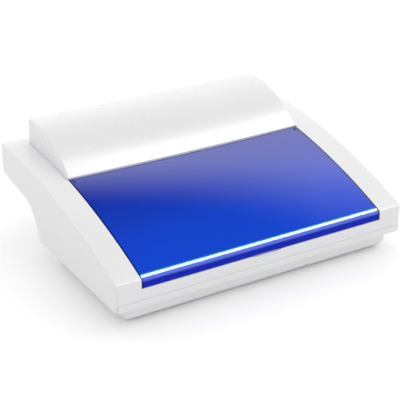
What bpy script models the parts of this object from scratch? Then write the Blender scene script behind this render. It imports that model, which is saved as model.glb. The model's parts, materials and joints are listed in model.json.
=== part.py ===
"""Table-top ultraviolet steriliser cabinet with a curved blue lid and a raised lamp hood.

Lengths are in metres. X runs across the cabinet, Y from front to back and Z up.
Every piece is modelled with Y measured back from the front face, and place() then
moves it so that the origin is under the middle of the cabinet.
"""
import math

import bmesh
import bpy
from mathutils import Matrix, Vector

# Cabinet as a whole
cabinet_width = 0.390
cabinet_depth = 0.302
seat_gap = 0.0003
cut_overrun = 0.005

# Rails: one arc seen from the side, level near the rear
rail_rear_setback = 0.002
rail_level_depth = cabinet_depth - rail_rear_setback
rail_level_height = 0.1132
rail_front_height = 0.05613
rail_drop = rail_level_height - rail_front_height
rail_radius = (rail_level_depth ** 2 + rail_drop ** 2) / (2 * rail_drop)
rail_steps = 12

# Underside: flat, then swept up in a hollow curve to the tail
underside_height = 0.022
tail_length = 0.1054
underside_length = cabinet_depth - tail_length
sweep_angle = math.radians(66)
sweep_round = 0.045
sweep_steps = 6
tail_angle = math.radians(7.5)
tail_drop = 0.0393
tail_height = rail_level_height - tail_drop

# Body shell
shell_wall = 0.003
shell_edge_round = 0.002
shell_corner_round = 0.0045
edge_round_steps = 2
corner_round_steps = 3
front_seam_height = 0.031
cheek_width = 0.038
chamber_width = cabinet_width - 2 * cheek_width
inner_wall = 0.003
ledge_block_wall = 0.0045
ledge_block_height = 0.008
front_wall = 0.0062
rear_wall = 0.0065

# Recessed panel in the rear wall
panel_side_inset = 0.007
panel_width = chamber_width - 2 * panel_side_inset
panel_recess = 0.0035
panel_height = 0.030
panel_drop = 0.0192
panel_centre_height = rail_level_height - panel_drop

# Lamp hood, set out from the rear
hood_rear_setback = 0.015
hood_rear_depth = cabinet_depth - hood_rear_setback
hood_crest_setback = 0.007
hood_crest_depth = hood_rear_depth - hood_crest_setback
hood_length = 0.1085
hood_front_depth = hood_rear_depth - hood_length
hood_front_foot = 0.0015
hood_sink_depth = hood_front_depth + hood_front_foot
hood_rise = 0.0316
hood_top_height = rail_level_height + hood_rise
hood_front_lip = 0.00183
hood_front_land = 0.0032
hood_bow = 0.003
hood_bow_length = 0.0515
hood_bow_end_depth = hood_front_depth + hood_bow_length

# Lid
lid_overlap = 0.005
lid_width = chamber_width + 2 * lid_overlap
lid_side_gap = 0.0005
lid_wall = 0.003
lid_setback = 0.0003
lip_height = 0.045
lip_gap = 0.0006
lid_roll = 0.010
roll_steps = 6
lid_rear_gap = 0.001
lid_rear_depth = hood_front_depth - lid_rear_gap
lid_bow = 0.003
lid_tab_drop = 0.0018
lid_tab_width = 0.026
lid_tab_slope_width = 0.008
lid_slit_width = 0.0025
lid_slit_length = 0.0085
lid_slit_inset = 0.004
lid_place_shares = (0.25, 0.5, 0.75, 0.9)

# Lid hinge
hinge_inset = 0.0085
hinge_depth = lid_rear_depth - hinge_inset
hinge_drop = 0.0045
barrel_radius = 0.0035
barrel_length = 0.005
barrel_end_gap = 0.0007
hinge_pin_radius = 0.0015
hinge_pin_length = 0.010
hinge_pin_inset = 0.0005
hinge_notch_gap = 0.0005
notch_sides = 24

# Thumb recess under the lid's tab
thumb_recess_width = 0.036
thumb_recess_height = 0.0125
thumb_recess_depth = 0.002
thumb_recess_sides = 20

# Walls and fixings of the hood
hood_overhang = 0.0017
hood_width = lid_width + 2 * hood_overhang
hood_side_gap = 0.0003
hood_end_gap = 0.0003
hood_wall = 0.003
hood_front_lift = 0.0002
hood_edge_round = 0.0035
hood_round_steps = 3
hood_round_fade_length = 0.012
hood_corner_share = 0.9
hood_steps = 10
hood_place_shares = (0.25, 0.5, 0.75, 0.9)
hood_boss_radius = 0.004
hood_boss_side_inset = 0.0337
hood_boss_spacing = hood_width - 2 * hood_boss_side_inset
hood_boss_rise = 0.010
hood_boss_height = panel_centre_height + hood_boss_rise
hood_tab_width = 0.012
hood_tab_drop = 0.006

# Base shell with its tray
base_wall = 0.0025
tray_side_inset = 0.012
tray_width = cabinet_width - 2 * tray_side_inset
tray_front = 0.006
tray_rear_inset = 0.0086
tray_rear = underside_length - tray_rear_inset
tray_bottom = 0.002
tray_round = 0.012
tray_round_steps = 4
tray_join = 0.001
drip_slot_spacing = 0.124
drip_slot_width = 0.003
drip_slot_length = 0.009
drip_slot_cut = 0.0012
vent_count = 7
vent_width = 0.003
vent_length = 0.030
vent_pitch = 0.012
vent_centre_x = -0.060
vent_setback = 0.054
vent_front = cabinet_depth - vent_setback
tail_pad_rise = 0.0031
tail_pad_height = tail_height + tail_pad_rise

# Screws, and the bosses and holes for them
screw_head_radius = 0.0032
screw_head_height = 0.002
screw_shank_radius = 0.0014
screw_hole_radius = 0.0017
screw_slot_length = 0.0045
screw_slot_width = 0.001
screw_slot_cut = 0.0005
base_screw_length = 0.012
hood_screw_length = 0.0105
ballast_screw_length = 0.003
screw_tip_gap = 0.001
base_boss_width = 0.008
base_boss_height = 0.016
base_boss_inset = 0.0076
base_screw_front = 0.020
base_screw_ballast_gap = 0.011
base_screw_rear_inset = 0.0116

# Feet
foot_radius = 0.006
foot_side_inset = 0.033
foot_spacing_x = tray_width - 2 * foot_side_inset
foot_front_depth = 0.035
foot_rear_inset = 0.020
foot_depths = (foot_front_depth, tray_rear - foot_rear_inset)

# Chamber tub of pressed steel
tub_side_gap = 0.003
tub_width = chamber_width - 2 * tub_side_gap
tub_front_gap = 0.0032
tub_front = tray_front + tub_front_gap
tub_rear_gap = 0.0035
tub_rear = tray_rear - tub_rear_gap
tub_rim_height = 0.032
tub_wall = 0.001
tub_flange_side_gap = 0.0005
tub_flange_width = chamber_width - 2 * tub_flange_side_gap
tub_flange_front = tray_front
tub_flange_rear = tray_rear
tub_relief_rear_gap = 0.002
tub_relief_rear = tub_flange_rear + tub_relief_rear_gap

# Lamp, 8 watt, 16 mm tube with two-pin caps, 288.3 mm from face to face
lamp_setback = 0.0335
lamp_depth = hood_front_depth + lamp_setback
lamp_drop = 0.0182
lamp_height = rail_level_height - lamp_drop
lamp_end_room = 0.01285
lamp_base_length = chamber_width - 2 * lamp_end_room
lamp_radius = 0.008
lamp_cap_length = 0.0132
lamp_pin_length = 0.0071
lamp_pin_radius = 0.0012
lamp_pin_spacing = 0.005
lamp_sides = 20

# Lamp holders with turning rotors
holder_end_gap = 0.0006
holder_depth = 0.018
holder_height = 0.024
rotor_radius = 0.0057
rotor_length = 0.008
rotor_slot_depth = 0.0068

# Reflector of bright sheet, as a path in the side view, set out from the lamp's axis
reflector_wall = 0.0008
reflector_end_gap = 0.00065
reflector_width = lamp_base_length - 2 * reflector_end_gap
reflector_foot_reach = 0.010
reflector_foot_depth = lamp_depth + reflector_foot_reach
reflector_knee_reach = 0.026
reflector_knee_drop = 0.019
reflector_knee = (lamp_depth + reflector_knee_reach, lamp_height - reflector_knee_drop)
reflector_crest_reach = 0.024
reflector_crest_rise = 0.029
reflector_crest = (lamp_depth + reflector_crest_reach, lamp_height + reflector_crest_rise)
reflector_lip_reach = 0.024
reflector_lip_rise = 0.0105
reflector_lip = (lamp_depth - reflector_lip_reach, lamp_height + reflector_lip_rise)
reflector_round = 0.016
reflector_round_steps = 5
reflector_foot_lift = 0.0005

# Ballast in the right cheek
ballast_side_inset = 0.019
ballast_length = 0.068
ballast_rear_room = 0.0226
ballast_front = underside_length - ballast_length - ballast_rear_room
ballast_width = 0.026
ballast_top_drop = 0.0502
ballast_lug_length = 0.010
ballast_lug_height = 0.0025
ballast_pad_height = 0.0025
ballast_pad_width = 0.012
ballast_block_share = 0.55

# Starter and its socket, in the tail
starter_setback = 0.040
starter_depth = cabinet_depth - starter_setback
starter_rise = 0.0171
starter_height = tail_height + starter_rise
starter_shift = 0.010
starter_radius = 0.01075
starter_length = 0.036
starter_neck_radius = 0.009
starter_neck_length = 0.003
starter_pin_radius = 0.0022
starter_pin_length = 0.005
starter_pin_spacing = 0.0127
socket_length = 0.009
socket_width = 0.024
socket_groove_outer = 0.0091
socket_groove_inner = 0.0038

# Appliance inlet
inlet_side_inset = 0.090
inlet_centre_x = panel_width / 2 - inlet_side_inset
inlet_flange_width = 0.030
inlet_flange_height = 0.0245
inlet_flange_thickness = 0.002
inlet_body_width = 0.0266
inlet_body_height = 0.0196
inlet_body_depth = 0.0195
inlet_mouth_width = 0.0242
inlet_mouth_height = 0.0162
inlet_mouth_depth = 0.0168
inlet_pin_thickness = 0.002
inlet_pin_height = 0.004
inlet_pin_length = 0.011
inlet_pin_spacing = 0.014
inlet_earth_rise = 0.004

# Mains rocker switch
switch_spacing = 0.035
switch_centre_x = inlet_centre_x + switch_spacing
switch_bezel_width = 0.019
switch_bezel_height = 0.025
switch_bezel_thickness = 0.002
switch_body_width = 0.0146
switch_body_height = 0.0206
switch_body_depth = 0.0175
switch_well_width = 0.012
switch_well_height = 0.0178
switch_well_depth = 0.010
rocker_width = 0.0114
rocker_height = 0.016
rocker_rise = 0.0025
rocker_dish = 0.0012
rocker_root = 0.004
rocker_root_height = 0.012
rocker_pivot_inset = 0.0032
rocker_pin_radius = 0.0012
rocker_pin_reach = 0.0008
rocker_tilt = math.radians(10)

# Lid interlock in the right cheek
interlock_setback = 0.0275
interlock_depth = lid_rear_depth - interlock_setback
plunger_inset = 0.0043
plunger_radius = 0.0007
plunger_hole_radius = 0.001
plunger_length = 0.014
interlock_inner_gap = 0.0004
interlock_width = 0.008
interlock_length = 0.020
interlock_height = 0.0145
interlock_well = 0.008

# Soft bumpers under the front corners of the lid
bumper_front = 0.022
bumper_length = 0.008
bumper_width = 0.0036
bumper_side_gap = 0.0008
bumper_thickness = 0.0015

# Wires
wire_radius = 0.0009
wire_spacing = 0.008
wire_hole_setback = 0.052
wire_hole_front = cabinet_depth - wire_hole_setback
wire_hole_length = 0.014
wire_hole_height = 0.014
wire_hole_rise = 0.0041
wire_hole_bottom = tail_height + wire_hole_rise

# Roundness of small turned pieces
round_sides = 16
small_sides = 10
smooth_angle = math.radians(35)

# Edges and faces that several pieces share
half_width = cabinet_width / 2
side_inner = half_width - shell_wall
chamber_side = chamber_width / 2
inner_wall_outer = chamber_side + inner_wall
rail_inner = lid_width / 2 + lid_side_gap
block_outer = rail_inner + ledge_block_wall
ledge_inset = lid_wall + seat_gap
block_inset = ledge_inset + ledge_block_height
rear_inner = cabinet_depth - rear_wall
panel_face = cabinet_depth - panel_recess
base_half_width = side_inner - seat_gap
base_floor = underside_height + base_wall
lip_opening = lip_height - lip_gap
hood_opening_side = hood_width / 2 + hood_side_gap
hood_opening_front = hood_front_depth - 2 * hood_end_gap
lamp_face_x = lamp_base_length / 2
holder_inner_x = lamp_face_x + holder_end_gap
holder_outer_x = chamber_side - seat_gap
rotor_inner_x = holder_inner_x + seat_gap
rotor_outer_x = rotor_inner_x + rotor_length
holder_slot_width = 2 * (lamp_pin_radius + seat_gap)
hinge_pin_inner = chamber_side - hinge_pin_inset
plunger_x = chamber_side + plunger_inset
ballast_centre_x = half_width - ballast_side_inset
ballast_seat = base_floor + ballast_pad_height
ballast_height = rail_level_height - ballast_top_drop - ballast_seat
starter_inner_x = inlet_centre_x + starter_shift
base_screw_depths = (base_screw_front, ballast_front - base_screw_ballast_gap,
                     underside_length - base_screw_rear_inset)
ledge_screw_x = half_width - base_boss_inset
top_of_everything = hood_top_height + cut_overrun


def rail_height(depth, inset=0):
    """Height of the rail arc at a depth, or of an arc that lies inset below it."""
    reach = rail_level_depth - depth
    return rail_level_height - rail_radius + math.sqrt((rail_radius - inset) ** 2 - reach ** 2)


def rail_arc(start, end, inset, steps=rail_steps):
    """Points along the rail arc from one depth to another."""
    depths = [start + (end - start) * step / steps for step in range(steps + 1)]
    return [(depth, rail_height(depth, inset)) for depth in depths]


def crossing(point_a, angle_a, point_b, angle_b):
    """Point where two lines in the side view cross."""
    run_a = Vector((math.cos(angle_a), math.sin(angle_a)))
    run_b = Vector((math.cos(angle_b), math.sin(angle_b)))
    offset = Vector(point_b) - Vector(point_a)
    along = offset.cross(run_b) / run_a.cross(run_b)
    return Vector(point_a) + run_a * along


def rounded_corner(before, corner, after, radius, steps):
    """Arc of points that replaces the corner between two straight runs."""
    corner = Vector(corner)
    to_before = (Vector(before) - corner).normalized()
    to_after = (Vector(after) - corner).normalized()
    half_angle = to_before.angle(to_after) / 2
    start = corner + to_before * radius / math.tan(half_angle)
    centre = corner + (to_before + to_after).normalized() * radius / math.sin(half_angle)
    spoke = start - centre
    turn = math.copysign(math.pi - 2 * half_angle, to_after.cross(to_before))
    points = []
    for step in range(steps + 1):
        angle = turn * step / steps
        x = spoke.x * math.cos(angle) - spoke.y * math.sin(angle)
        y = spoke.x * math.sin(angle) + spoke.y * math.cos(angle)
        points.append((centre.x + x, centre.y + y))
    return points


def underside_path(lift, end_depth):
    """Underside from its front edge to a depth near the rear, raised by lift along its normal."""
    floor = underside_height + lift
    bend = (underside_length - lift * math.tan(sweep_angle / 2), floor)
    tail_end = (cabinet_depth, tail_height + lift / math.cos(tail_angle))
    corner = crossing(bend, sweep_angle, tail_end, tail_angle)
    end = (end_depth, tail_end[1] - (cabinet_depth - end_depth) * math.tan(tail_angle))
    arc = rounded_corner(bend, corner, tail_end, sweep_round + lift, sweep_steps)
    return [(0, floor), bend] + arc + [end]


def path_height(path, depth):
    """Height of a side-view path at a depth."""
    for (start, low), (end, high) in zip(path, path[1:]):
        if start <= depth <= end:
            return low + (high - low) * (depth - start) / (end - start)
    return path[-1][1]


def lid_path(inset, rear_depth, lip_bottom):
    """Lid from its lip over the front roll to its rear edge, or a path inset inside it."""
    face = lid_setback + inset
    radius = lid_roll - inset
    centre_depth = lid_setback + lid_roll
    # The roll ends where it meets the rail arc at the same slope
    slope = math.asin((rail_level_depth - centre_depth) / (rail_radius - lid_roll))
    centre_height = rail_height(centre_depth, lid_roll)
    roll = []
    for step in range(roll_steps + 1):
        angle = math.pi - (math.pi / 2 - slope) * step / roll_steps
        roll.append((centre_depth + radius * math.cos(angle), centre_height + radius * math.sin(angle)))
    return [(face, lip_bottom)] + roll + rail_arc(roll[-1][0], rear_depth, inset)[1:]


def solid_from(bm, name):
    """Object made of a finished bmesh."""
    bmesh.ops.recalc_face_normals(bm, faces=bm.faces)
    mesh = bpy.data.meshes.new(name)
    bm.to_mesh(mesh)
    bm.free()
    solid = bpy.data.objects.new(name, mesh)
    bpy.context.collection.objects.link(solid)
    return solid


def loft_bmesh(places, outline_at):
    """Closed bmesh that runs across the cabinet through an outline at each place along X."""
    bm = bmesh.new()
    rings = []
    for place_x in places:
        rings.append([bm.verts.new((place_x, depth, height)) for depth, height in outline_at(place_x)])
    for ring, following in zip(rings, rings[1:]):
        for corner, vertex in enumerate(ring):
            after = (corner + 1) % len(ring)
            bm.faces.new((vertex, following[corner], following[after], ring[after]))
    bm.faces.new(rings[0])
    bm.faces.new(reversed(rings[-1]))
    bmesh.ops.recalc_face_normals(bm, faces=bm.faces)
    return bm


def prism(name, outline, start, end):
    """Solid of one side-view outline from one place along X to another."""
    return solid_from(loft_bmesh((min(start, end), max(start, end)), lambda place_x: outline), name)


def block(name, low, high):
    """Box between two opposite corners."""
    outline = [(low[1], low[2]), (high[1], low[2]), (high[1], high[2]), (low[1], high[2])]
    return prism(name, outline, low[0], high[0])


def centred_block(name, centre, size):
    """Box of a size about its centre."""
    low = [middle - length / 2 for middle, length in zip(centre, size)]
    high = [middle + length / 2 for middle, length in zip(centre, size)]
    return block(name, low, high)


def rod(name, start, end, radius, sides=round_sides):
    """Round bar between two points."""
    start = Vector(start)
    run = Vector(end) - start
    turn = Vector((0, 0, 1)).rotation_difference(run).to_matrix().to_4x4()
    bm = bmesh.new()
    bmesh.ops.create_cone(bm, cap_ends=True, segments=sides, radius1=radius, radius2=radius,
                          depth=run.length, matrix=Matrix.Translation(start + run / 2) @ turn)
    return solid_from(bm, name)


def combine(solid, operation, tools):
    """Cuts, joins or trims a solid with others, which are used up."""
    for tool in tools:
        modifier = solid.modifiers.new("combine", "BOOLEAN")
        modifier.operation = operation
        modifier.object = tool
    graph = bpy.context.evaluated_depsgraph_get()
    shaped = bpy.data.meshes.new_from_object(solid.evaluated_get(graph))
    solid.modifiers.clear()
    plain = solid.data
    solid.data = shaped
    bpy.data.meshes.remove(plain)
    for tool in tools:
        used = tool.data
        bpy.data.objects.remove(tool)
        bpy.data.meshes.remove(used)
    return solid


def cut(solid, *tools):
    return combine(solid, "DIFFERENCE", tools)


def join(solid, *tools):
    return combine(solid, "UNION", tools)


def bevel_edges(bm, chosen, width, segments):
    """Rounds the chosen edges of a bmesh."""
    bmesh.ops.bevel(bm, geom=chosen, offset=width, segments=segments, profile=0.5, affect="EDGES",
                    clamp_overlap=True)


def edge_turn(edge):
    """Angle between the two faces of an edge, above zero where the edge stands out."""
    return edge.calc_face_angle_signed(0)


def material(name, color, roughness, metallic=0, alpha=1):
    """Plain surface with a colour, a roughness and a metallic value."""
    surface = bpy.data.materials.new(name)
    surface.use_nodes = True
    shader = surface.node_tree.nodes["Principled BSDF"]
    shader.inputs["Base Color"].default_value = (*color, 1)
    shader.inputs["Roughness"].default_value = roughness
    shader.inputs["Metallic"].default_value = metallic
    shader.inputs["Alpha"].default_value = alpha
    return surface


def place(solid, surface, origin=(0, 0, 0)):
    """Gives a piece its surface and its origin, and moves it into the cabinet's frame."""
    solid.data.transform(Matrix.Translation(-Vector(origin)))
    solid.location = Vector(origin) - Vector((0, cabinet_depth / 2, 0))
    solid.data.materials.clear()
    solid.data.materials.append(surface)
    solid.data.shade_smooth()
    solid.data.set_sharp_from_angle(angle=smooth_angle)
    return solid


def hinge_axis():
    """Depth and height of the lid's hinge axis."""
    return hinge_depth, rail_height(hinge_depth) - hinge_drop


def opening_outline(rear_depth):
    """Side view of all that the closed lid needs, with its seating gap."""
    seat = lid_path(ledge_inset, rear_depth, lip_opening)
    front = -cut_overrun
    return [(front, lip_opening)] + seat + [(rear_depth, top_of_everything), (front, top_of_everything)]


def body_blank():
    """Outer block of the body with its rounded edges."""
    outline = [(0, underside_height)] + underside_path(0, cabinet_depth)[1:]
    outline += rail_arc(cabinet_depth, 0, 0)
    bm = loft_bmesh((-half_width, half_width), lambda place_x: outline)
    upright = [edge for edge in bm.edges
               if all(abs(vertex.co.y) < seat_gap for vertex in edge.verts)
               and abs(edge.verts[0].co.x - edge.verts[1].co.x) < seat_gap]
    bevel_edges(bm, upright, shell_corner_round, corner_round_steps)
    standing = [edge for edge in bm.edges if edge_turn(edge) > smooth_angle]
    bevel_edges(bm, standing, shell_edge_round, edge_round_steps)
    return solid_from(bm, "body_shell")


def cavity(name, start, end, front, rear, inset):
    """Cutter for a hollow that is open below and ends under the rails."""
    outline = [(front, -cut_overrun), (rear, -cut_overrun)] + rail_arc(rear, front, inset)
    return prism(name, outline, start, end)


def base_relief():
    """Cutter for all that the base shell needs between the side walls."""
    lifted = underside_path(base_wall + seat_gap, rear_inner)
    face = base_wall + seat_gap
    outline = [(rear_inner, -cut_overrun)] + lifted[:0:-1]
    outline += [(face, lifted[0][1]), (face, front_seam_height), (-cut_overrun, front_seam_height)]
    outline += [(-cut_overrun, -cut_overrun)]
    return prism("base_relief", outline, -side_inner, side_inner)


def thumb_scoop():
    """Cutter for the shallow bowl in the front wall."""
    bm = bmesh.new()
    bmesh.ops.create_uvsphere(bm, u_segments=thumb_recess_sides, v_segments=thumb_recess_sides // 2,
                              radius=1)
    size = Matrix.Diagonal((thumb_recess_width / 2, thumb_recess_depth, thumb_recess_height / 2, 1))
    centre = Matrix.Translation((0, 0, lip_opening))
    bmesh.ops.transform(bm, matrix=centre @ size, verts=bm.verts)
    return solid_from(bm, "thumb_scoop")


def thumb_dip():
    """Cutter for the dip in the top of the front wall, which follows the lid's tab."""
    tab_half = lid_tab_width / 2
    end = tab_half + lid_tab_slope_width

    def outline_at(place_x):
        bottom = lip_bottom_at(place_x) - lip_gap
        rear = lid_setback + ledge_inset
        top = lip_opening + cut_overrun
        return [(-cut_overrun, bottom), (rear, bottom), (rear, top), (-cut_overrun, top)]

    return solid_from(loft_bmesh((-end, -tab_half, tab_half, end), outline_at), "thumb_dip")


def bumper_outline(gap):
    """Side view of a lid bumper, or of its pocket with a gap all round."""
    front = bumper_front - gap
    rear = bumper_front + bumper_length + gap
    top = ledge_inset - gap * cut_overrun / seat_gap
    bottom = ledge_inset + bumper_thickness + gap
    return rail_arc(front, rear, bottom, 1) + rail_arc(rear, front, top, 1)


def bumper_span(side, gap):
    """Places along X between which a bumper, or its pocket, lies."""
    inner = chamber_side + bumper_side_gap
    return side * (inner - gap), side * (inner + bumper_width + gap)


def body_shell(surface):
    """Cheeks, rails, front wall, rear panel, inner walls and lid ledge in one moulding."""
    shell = body_blank()
    tools = [cavity("centre", -chamber_side, chamber_side, front_wall, rear_inner, shell_wall)]
    for side in (-1, 1):
        tools.append(cavity("cheek", side * block_outer, side * side_inner, shell_wall, rear_inner,
                            shell_wall))
        tools.append(cavity("under_ledge", side * inner_wall_outer, side * (block_outer + shell_wall),
                            shell_wall, rear_inner, block_inset))
    tools.append(base_relief())
    relief_low = (-block_outer, tub_flange_front - seat_gap, -cut_overrun)
    relief_high = (block_outer, tub_relief_rear, tub_rim_height + tub_wall)
    tools.append(block("tub_relief", relief_low, relief_high))
    cut(shell, *tools)

    lid_opening = prism("lid_opening", opening_outline(hood_sink_depth), -rail_inner, rail_inner)
    hood_rear = hood_rear_depth + hood_end_gap
    hood_outline = rail_arc(hood_opening_front, hood_rear, shell_wall + seat_gap)
    hood_outline += [(hood_rear, top_of_everything), (hood_opening_front, top_of_everything)]
    hood_opening = prism("hood_opening", hood_outline, -hood_opening_side, hood_opening_side)
    cut(shell, lid_opening, hood_opening, thumb_scoop(), thumb_dip())

    axis_depth, axis_height = hinge_axis()
    rear_corner = Vector((lid_rear_depth - axis_depth, rail_height(lid_rear_depth) - axis_height))
    notch_radius = rear_corner.length + hinge_notch_gap
    tools = []
    for side in (-1, 1):
        tools.append(rod("notch", (side * (hinge_pin_inner - seat_gap), axis_depth, axis_height),
                         (side * rail_inner, axis_depth, axis_height), notch_radius, notch_sides))
        tools.append(rod("pin_hole", (side * chamber_side, axis_depth, axis_height),
                         (side * (block_outer + shell_wall), axis_depth, axis_height),
                         hinge_pin_radius + seat_gap, small_sides))
        start, end = bumper_span(side, seat_gap)
        tools.append(prism("bumper_pocket", bumper_outline(seat_gap), start, end))
    plunger_top = (plunger_x, interlock_depth, rail_height(interlock_depth))
    plunger_low = (plunger_x, interlock_depth, rail_height(interlock_depth, 2 * block_inset))
    tools.append(rod("plunger_hole", plunger_low, plunger_top, plunger_hole_radius, small_sides))
    hole_low = (chamber_side - shell_wall, wire_hole_front, wire_hole_bottom)
    hole_high = (inner_wall_outer + shell_wall, wire_hole_front + wire_hole_length,
                 wire_hole_bottom + wire_hole_height)
    tools.append(block("wire_hole", hole_low, hole_high))
    cut(shell, *tools)

    recess_size = (panel_width, 2 * panel_recess, panel_height)
    tools = [centred_block("panel_recess", (0, cabinet_depth, panel_centre_height), recess_size)]
    cutout_size = (inlet_body_width + 2 * seat_gap, 4 * rear_wall, inlet_body_height + 2 * seat_gap)
    tools.append(centred_block("inlet_cutout", (inlet_centre_x, cabinet_depth, panel_centre_height),
                               cutout_size))
    cutout_size = (switch_body_width + 2 * seat_gap, 4 * rear_wall, switch_body_height + 2 * seat_gap)
    tools.append(centred_block("switch_cutout", (switch_centre_x, cabinet_depth, panel_centre_height),
                               cutout_size))
    for side in (-1, 1):
        boss_x = side * hood_boss_spacing / 2
        tools.append(rod("hood_screw_hole", (boss_x, rear_inner - shell_wall, hood_boss_height),
                         (boss_x, cabinet_depth, hood_boss_height), screw_hole_radius, small_sides))
    cut(shell, *tools)

    bosses = []
    holes = []
    boss_bottom = base_floor + seat_gap
    for side in (-1, 1):
        for depth in base_screw_depths:
            low = (side * (ledge_screw_x - base_boss_width / 2), depth - base_boss_width / 2, boss_bottom)
            high = (side * (side_inner + shell_wall / 2), depth + base_boss_width / 2,
                    boss_bottom + base_boss_height)
            bosses.append(block("boss", low, high))
            holes.append(rod("boss_hole", (side * ledge_screw_x, depth, boss_bottom - cut_overrun),
                             (side * ledge_screw_x, depth, underside_height + base_screw_length),
                             screw_hole_radius, small_sides))
    join(shell, *bosses)
    cut(shell, *holes)
    return place(shell, surface)


def rounded_box(name, half, front, rear, bottom, top, radius, round_bottom=True):
    """Box with rounded upright corners and, unless told otherwise, rounded lower edges."""
    bm = bmesh.new()
    bmesh.ops.create_cube(bm, size=1)
    size = Matrix.Diagonal((2 * half, rear - front, top - bottom, 1))
    centre = Matrix.Translation((0, (front + rear) / 2, (bottom + top) / 2))
    bmesh.ops.transform(bm, matrix=centre @ size, verts=bm.verts)
    chosen = []
    for edge in bm.edges:
        heights = [vertex.co.z for vertex in edge.verts]
        upright = max(heights) - min(heights) > seat_gap
        at_bottom = max(heights) < bottom + seat_gap
        if upright or (round_bottom and at_bottom):
            chosen.append(edge)
    bevel_edges(bm, chosen, radius, tray_round_steps)
    return solid_from(bm, name)


def drip_slot(side):
    """Cutter for a small slot that runs up the rounded front edge of the tray."""
    size = (drip_slot_width, drip_slot_length, 2 * drip_slot_cut)
    slot = centred_block("drip_slot", (0, 0, 0), size)
    reach = tray_round * math.cos(math.pi / 4)
    centre = (side * drip_slot_spacing / 2, tray_front + tray_round - reach,
              tray_bottom + tray_round - reach)
    turn = Matrix.Rotation(-math.pi / 4, 4, "X")
    slot.data.transform(Matrix.Translation(centre) @ turn)
    return slot


def base_shell(surface):
    """Lower moulding: front strip, tray, and the swept underside of the tail."""
    rear = rear_inner - seat_gap
    outer = [(0, front_seam_height - seat_gap)] + underside_path(0, rear)
    inner = underside_path(base_wall, rear)
    inner[0] = (base_wall, inner[0][1])
    outline = outer + inner[::-1] + [(base_wall, front_seam_height - seat_gap)]
    shell = prism("base_shell", outline, -base_half_width, base_half_width)
    tray_half = tray_width / 2
    tray = rounded_box("tray", tray_half, tray_front, tray_rear, tray_bottom,
                       underside_height + tray_join, tray_round)
    pads = []
    for depth in (ballast_front, ballast_front + ballast_length - ballast_lug_length):
        pads.append(block("ballast_pad", (ballast_centre_x - ballast_pad_width / 2, depth,
                                          base_floor - tray_join),
                          (ballast_centre_x + ballast_pad_width / 2, depth + ballast_lug_length,
                           ballast_seat)))
    socket_low = (starter_inner_x - socket_length, starter_depth - socket_width / 2,
                  path_height(inner, starter_depth) - 2 * tray_join)
    socket_high = (starter_inner_x, starter_depth + socket_width / 2, tail_pad_height)
    pads.append(block("socket_pad", socket_low, socket_high))
    well = rounded_box("well", tray_half - base_wall, tray_front + base_wall, tray_rear - base_wall,
                       tray_bottom + base_wall, base_floor + cut_overrun, tray_round - base_wall)
    join(shell, tray)
    cut(shell, well)
    join(shell, *pads)

    tools = [drip_slot(-1), drip_slot(1)]
    for side in (-1, 1):
        for depth in base_screw_depths:
            tools.append(rod("screw_hole", (side * ledge_screw_x, depth, underside_height - cut_overrun),
                             (side * ledge_screw_x, depth, base_floor + cut_overrun),
                             screw_hole_radius, small_sides))
    for depth in ballast_screw_depths():
        tools.append(rod("pad_hole", (ballast_centre_x, depth, base_floor),
                         (ballast_centre_x, depth, ballast_seat + cut_overrun), screw_hole_radius,
                         small_sides))
    for number in range(vent_count):
        vent_x = vent_centre_x + (number - (vent_count - 1) / 2) * vent_pitch
        low = (vent_x - vent_width / 2, vent_front, tail_height - 2 * cut_overrun)
        high = (vent_x + vent_width / 2, vent_front + vent_length, tail_height + cut_overrun)
        tools.append(block("vent", low, high))
    cut(shell, *tools)
    return place(shell, surface)


def ballast_screw_depths():
    """Depths of the two screws through the ballast's end lugs."""
    half = ballast_lug_length / 2
    return ballast_front + half, ballast_front + ballast_length - half


def hood_arc_radius():
    """Radius of the hood's curved top, from its crest down to the lip along its front edge."""
    reach = hood_crest_depth - hood_front_depth
    drop = hood_top_height - rail_height(hood_front_depth) - hood_front_lip
    return (reach ** 2 + drop ** 2) / (2 * drop)


def hood_arc_height(depth, inset=0):
    """Height of the hood's curved top, which is level behind its crest."""
    reach = max(hood_crest_depth - depth, 0)
    hood_radius = hood_arc_radius()
    return hood_top_height - hood_radius + math.sqrt((hood_radius - inset) ** 2 - reach ** 2)


def hood_bowed(depth, place_x):
    """Depth moved forward by the bow of the hood's front edge, which fades towards the crest."""
    share = 1 - (place_x / (hood_width / 2)) ** 2
    fade = min(max((hood_bow_end_depth - depth) / (hood_bow_end_depth - hood_front_depth), 0), 1)
    return depth - hood_bow * share * fade


def hood_outline(place_x):
    """Side view of the hood's outside at a place along X, drawn in where its side edges round."""
    over = min(max(abs(place_x) - (hood_width / 2 - hood_edge_round), 0), hood_edge_round)
    drawn_in = hood_edge_round - math.sqrt(hood_edge_round ** 2 - over ** 2)
    outline = []
    for step in range(hood_steps + 1):
        depth = hood_front_depth + (hood_crest_depth - hood_front_depth) * step / hood_steps
        fade = min((depth - hood_front_depth) / hood_round_fade_length, 1)
        outline.append((hood_bowed(depth, place_x), hood_arc_height(depth, drawn_in * fade)))
    corner_round = hood_edge_round - drawn_in * hood_corner_share
    corner_depth = hood_rear_depth - drawn_in - corner_round
    corner_height = hood_top_height - drawn_in - corner_round
    for step in range(hood_round_steps + 1):
        angle = math.pi / 2 * step / hood_round_steps
        outline.append((corner_depth + corner_round * math.sin(angle),
                        corner_height + corner_round * math.cos(angle)))
    rear = hood_rear_depth - drawn_in
    outline += rail_arc(rear, hood_sink_depth, shell_wall, hood_steps)
    outline.append((hood_sink_depth, rail_height(hood_sink_depth) + hood_front_lift))
    front = hood_bowed(hood_front_depth, place_x)
    outline.append((front, rail_height(front) + hood_front_lift))
    return outline


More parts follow.
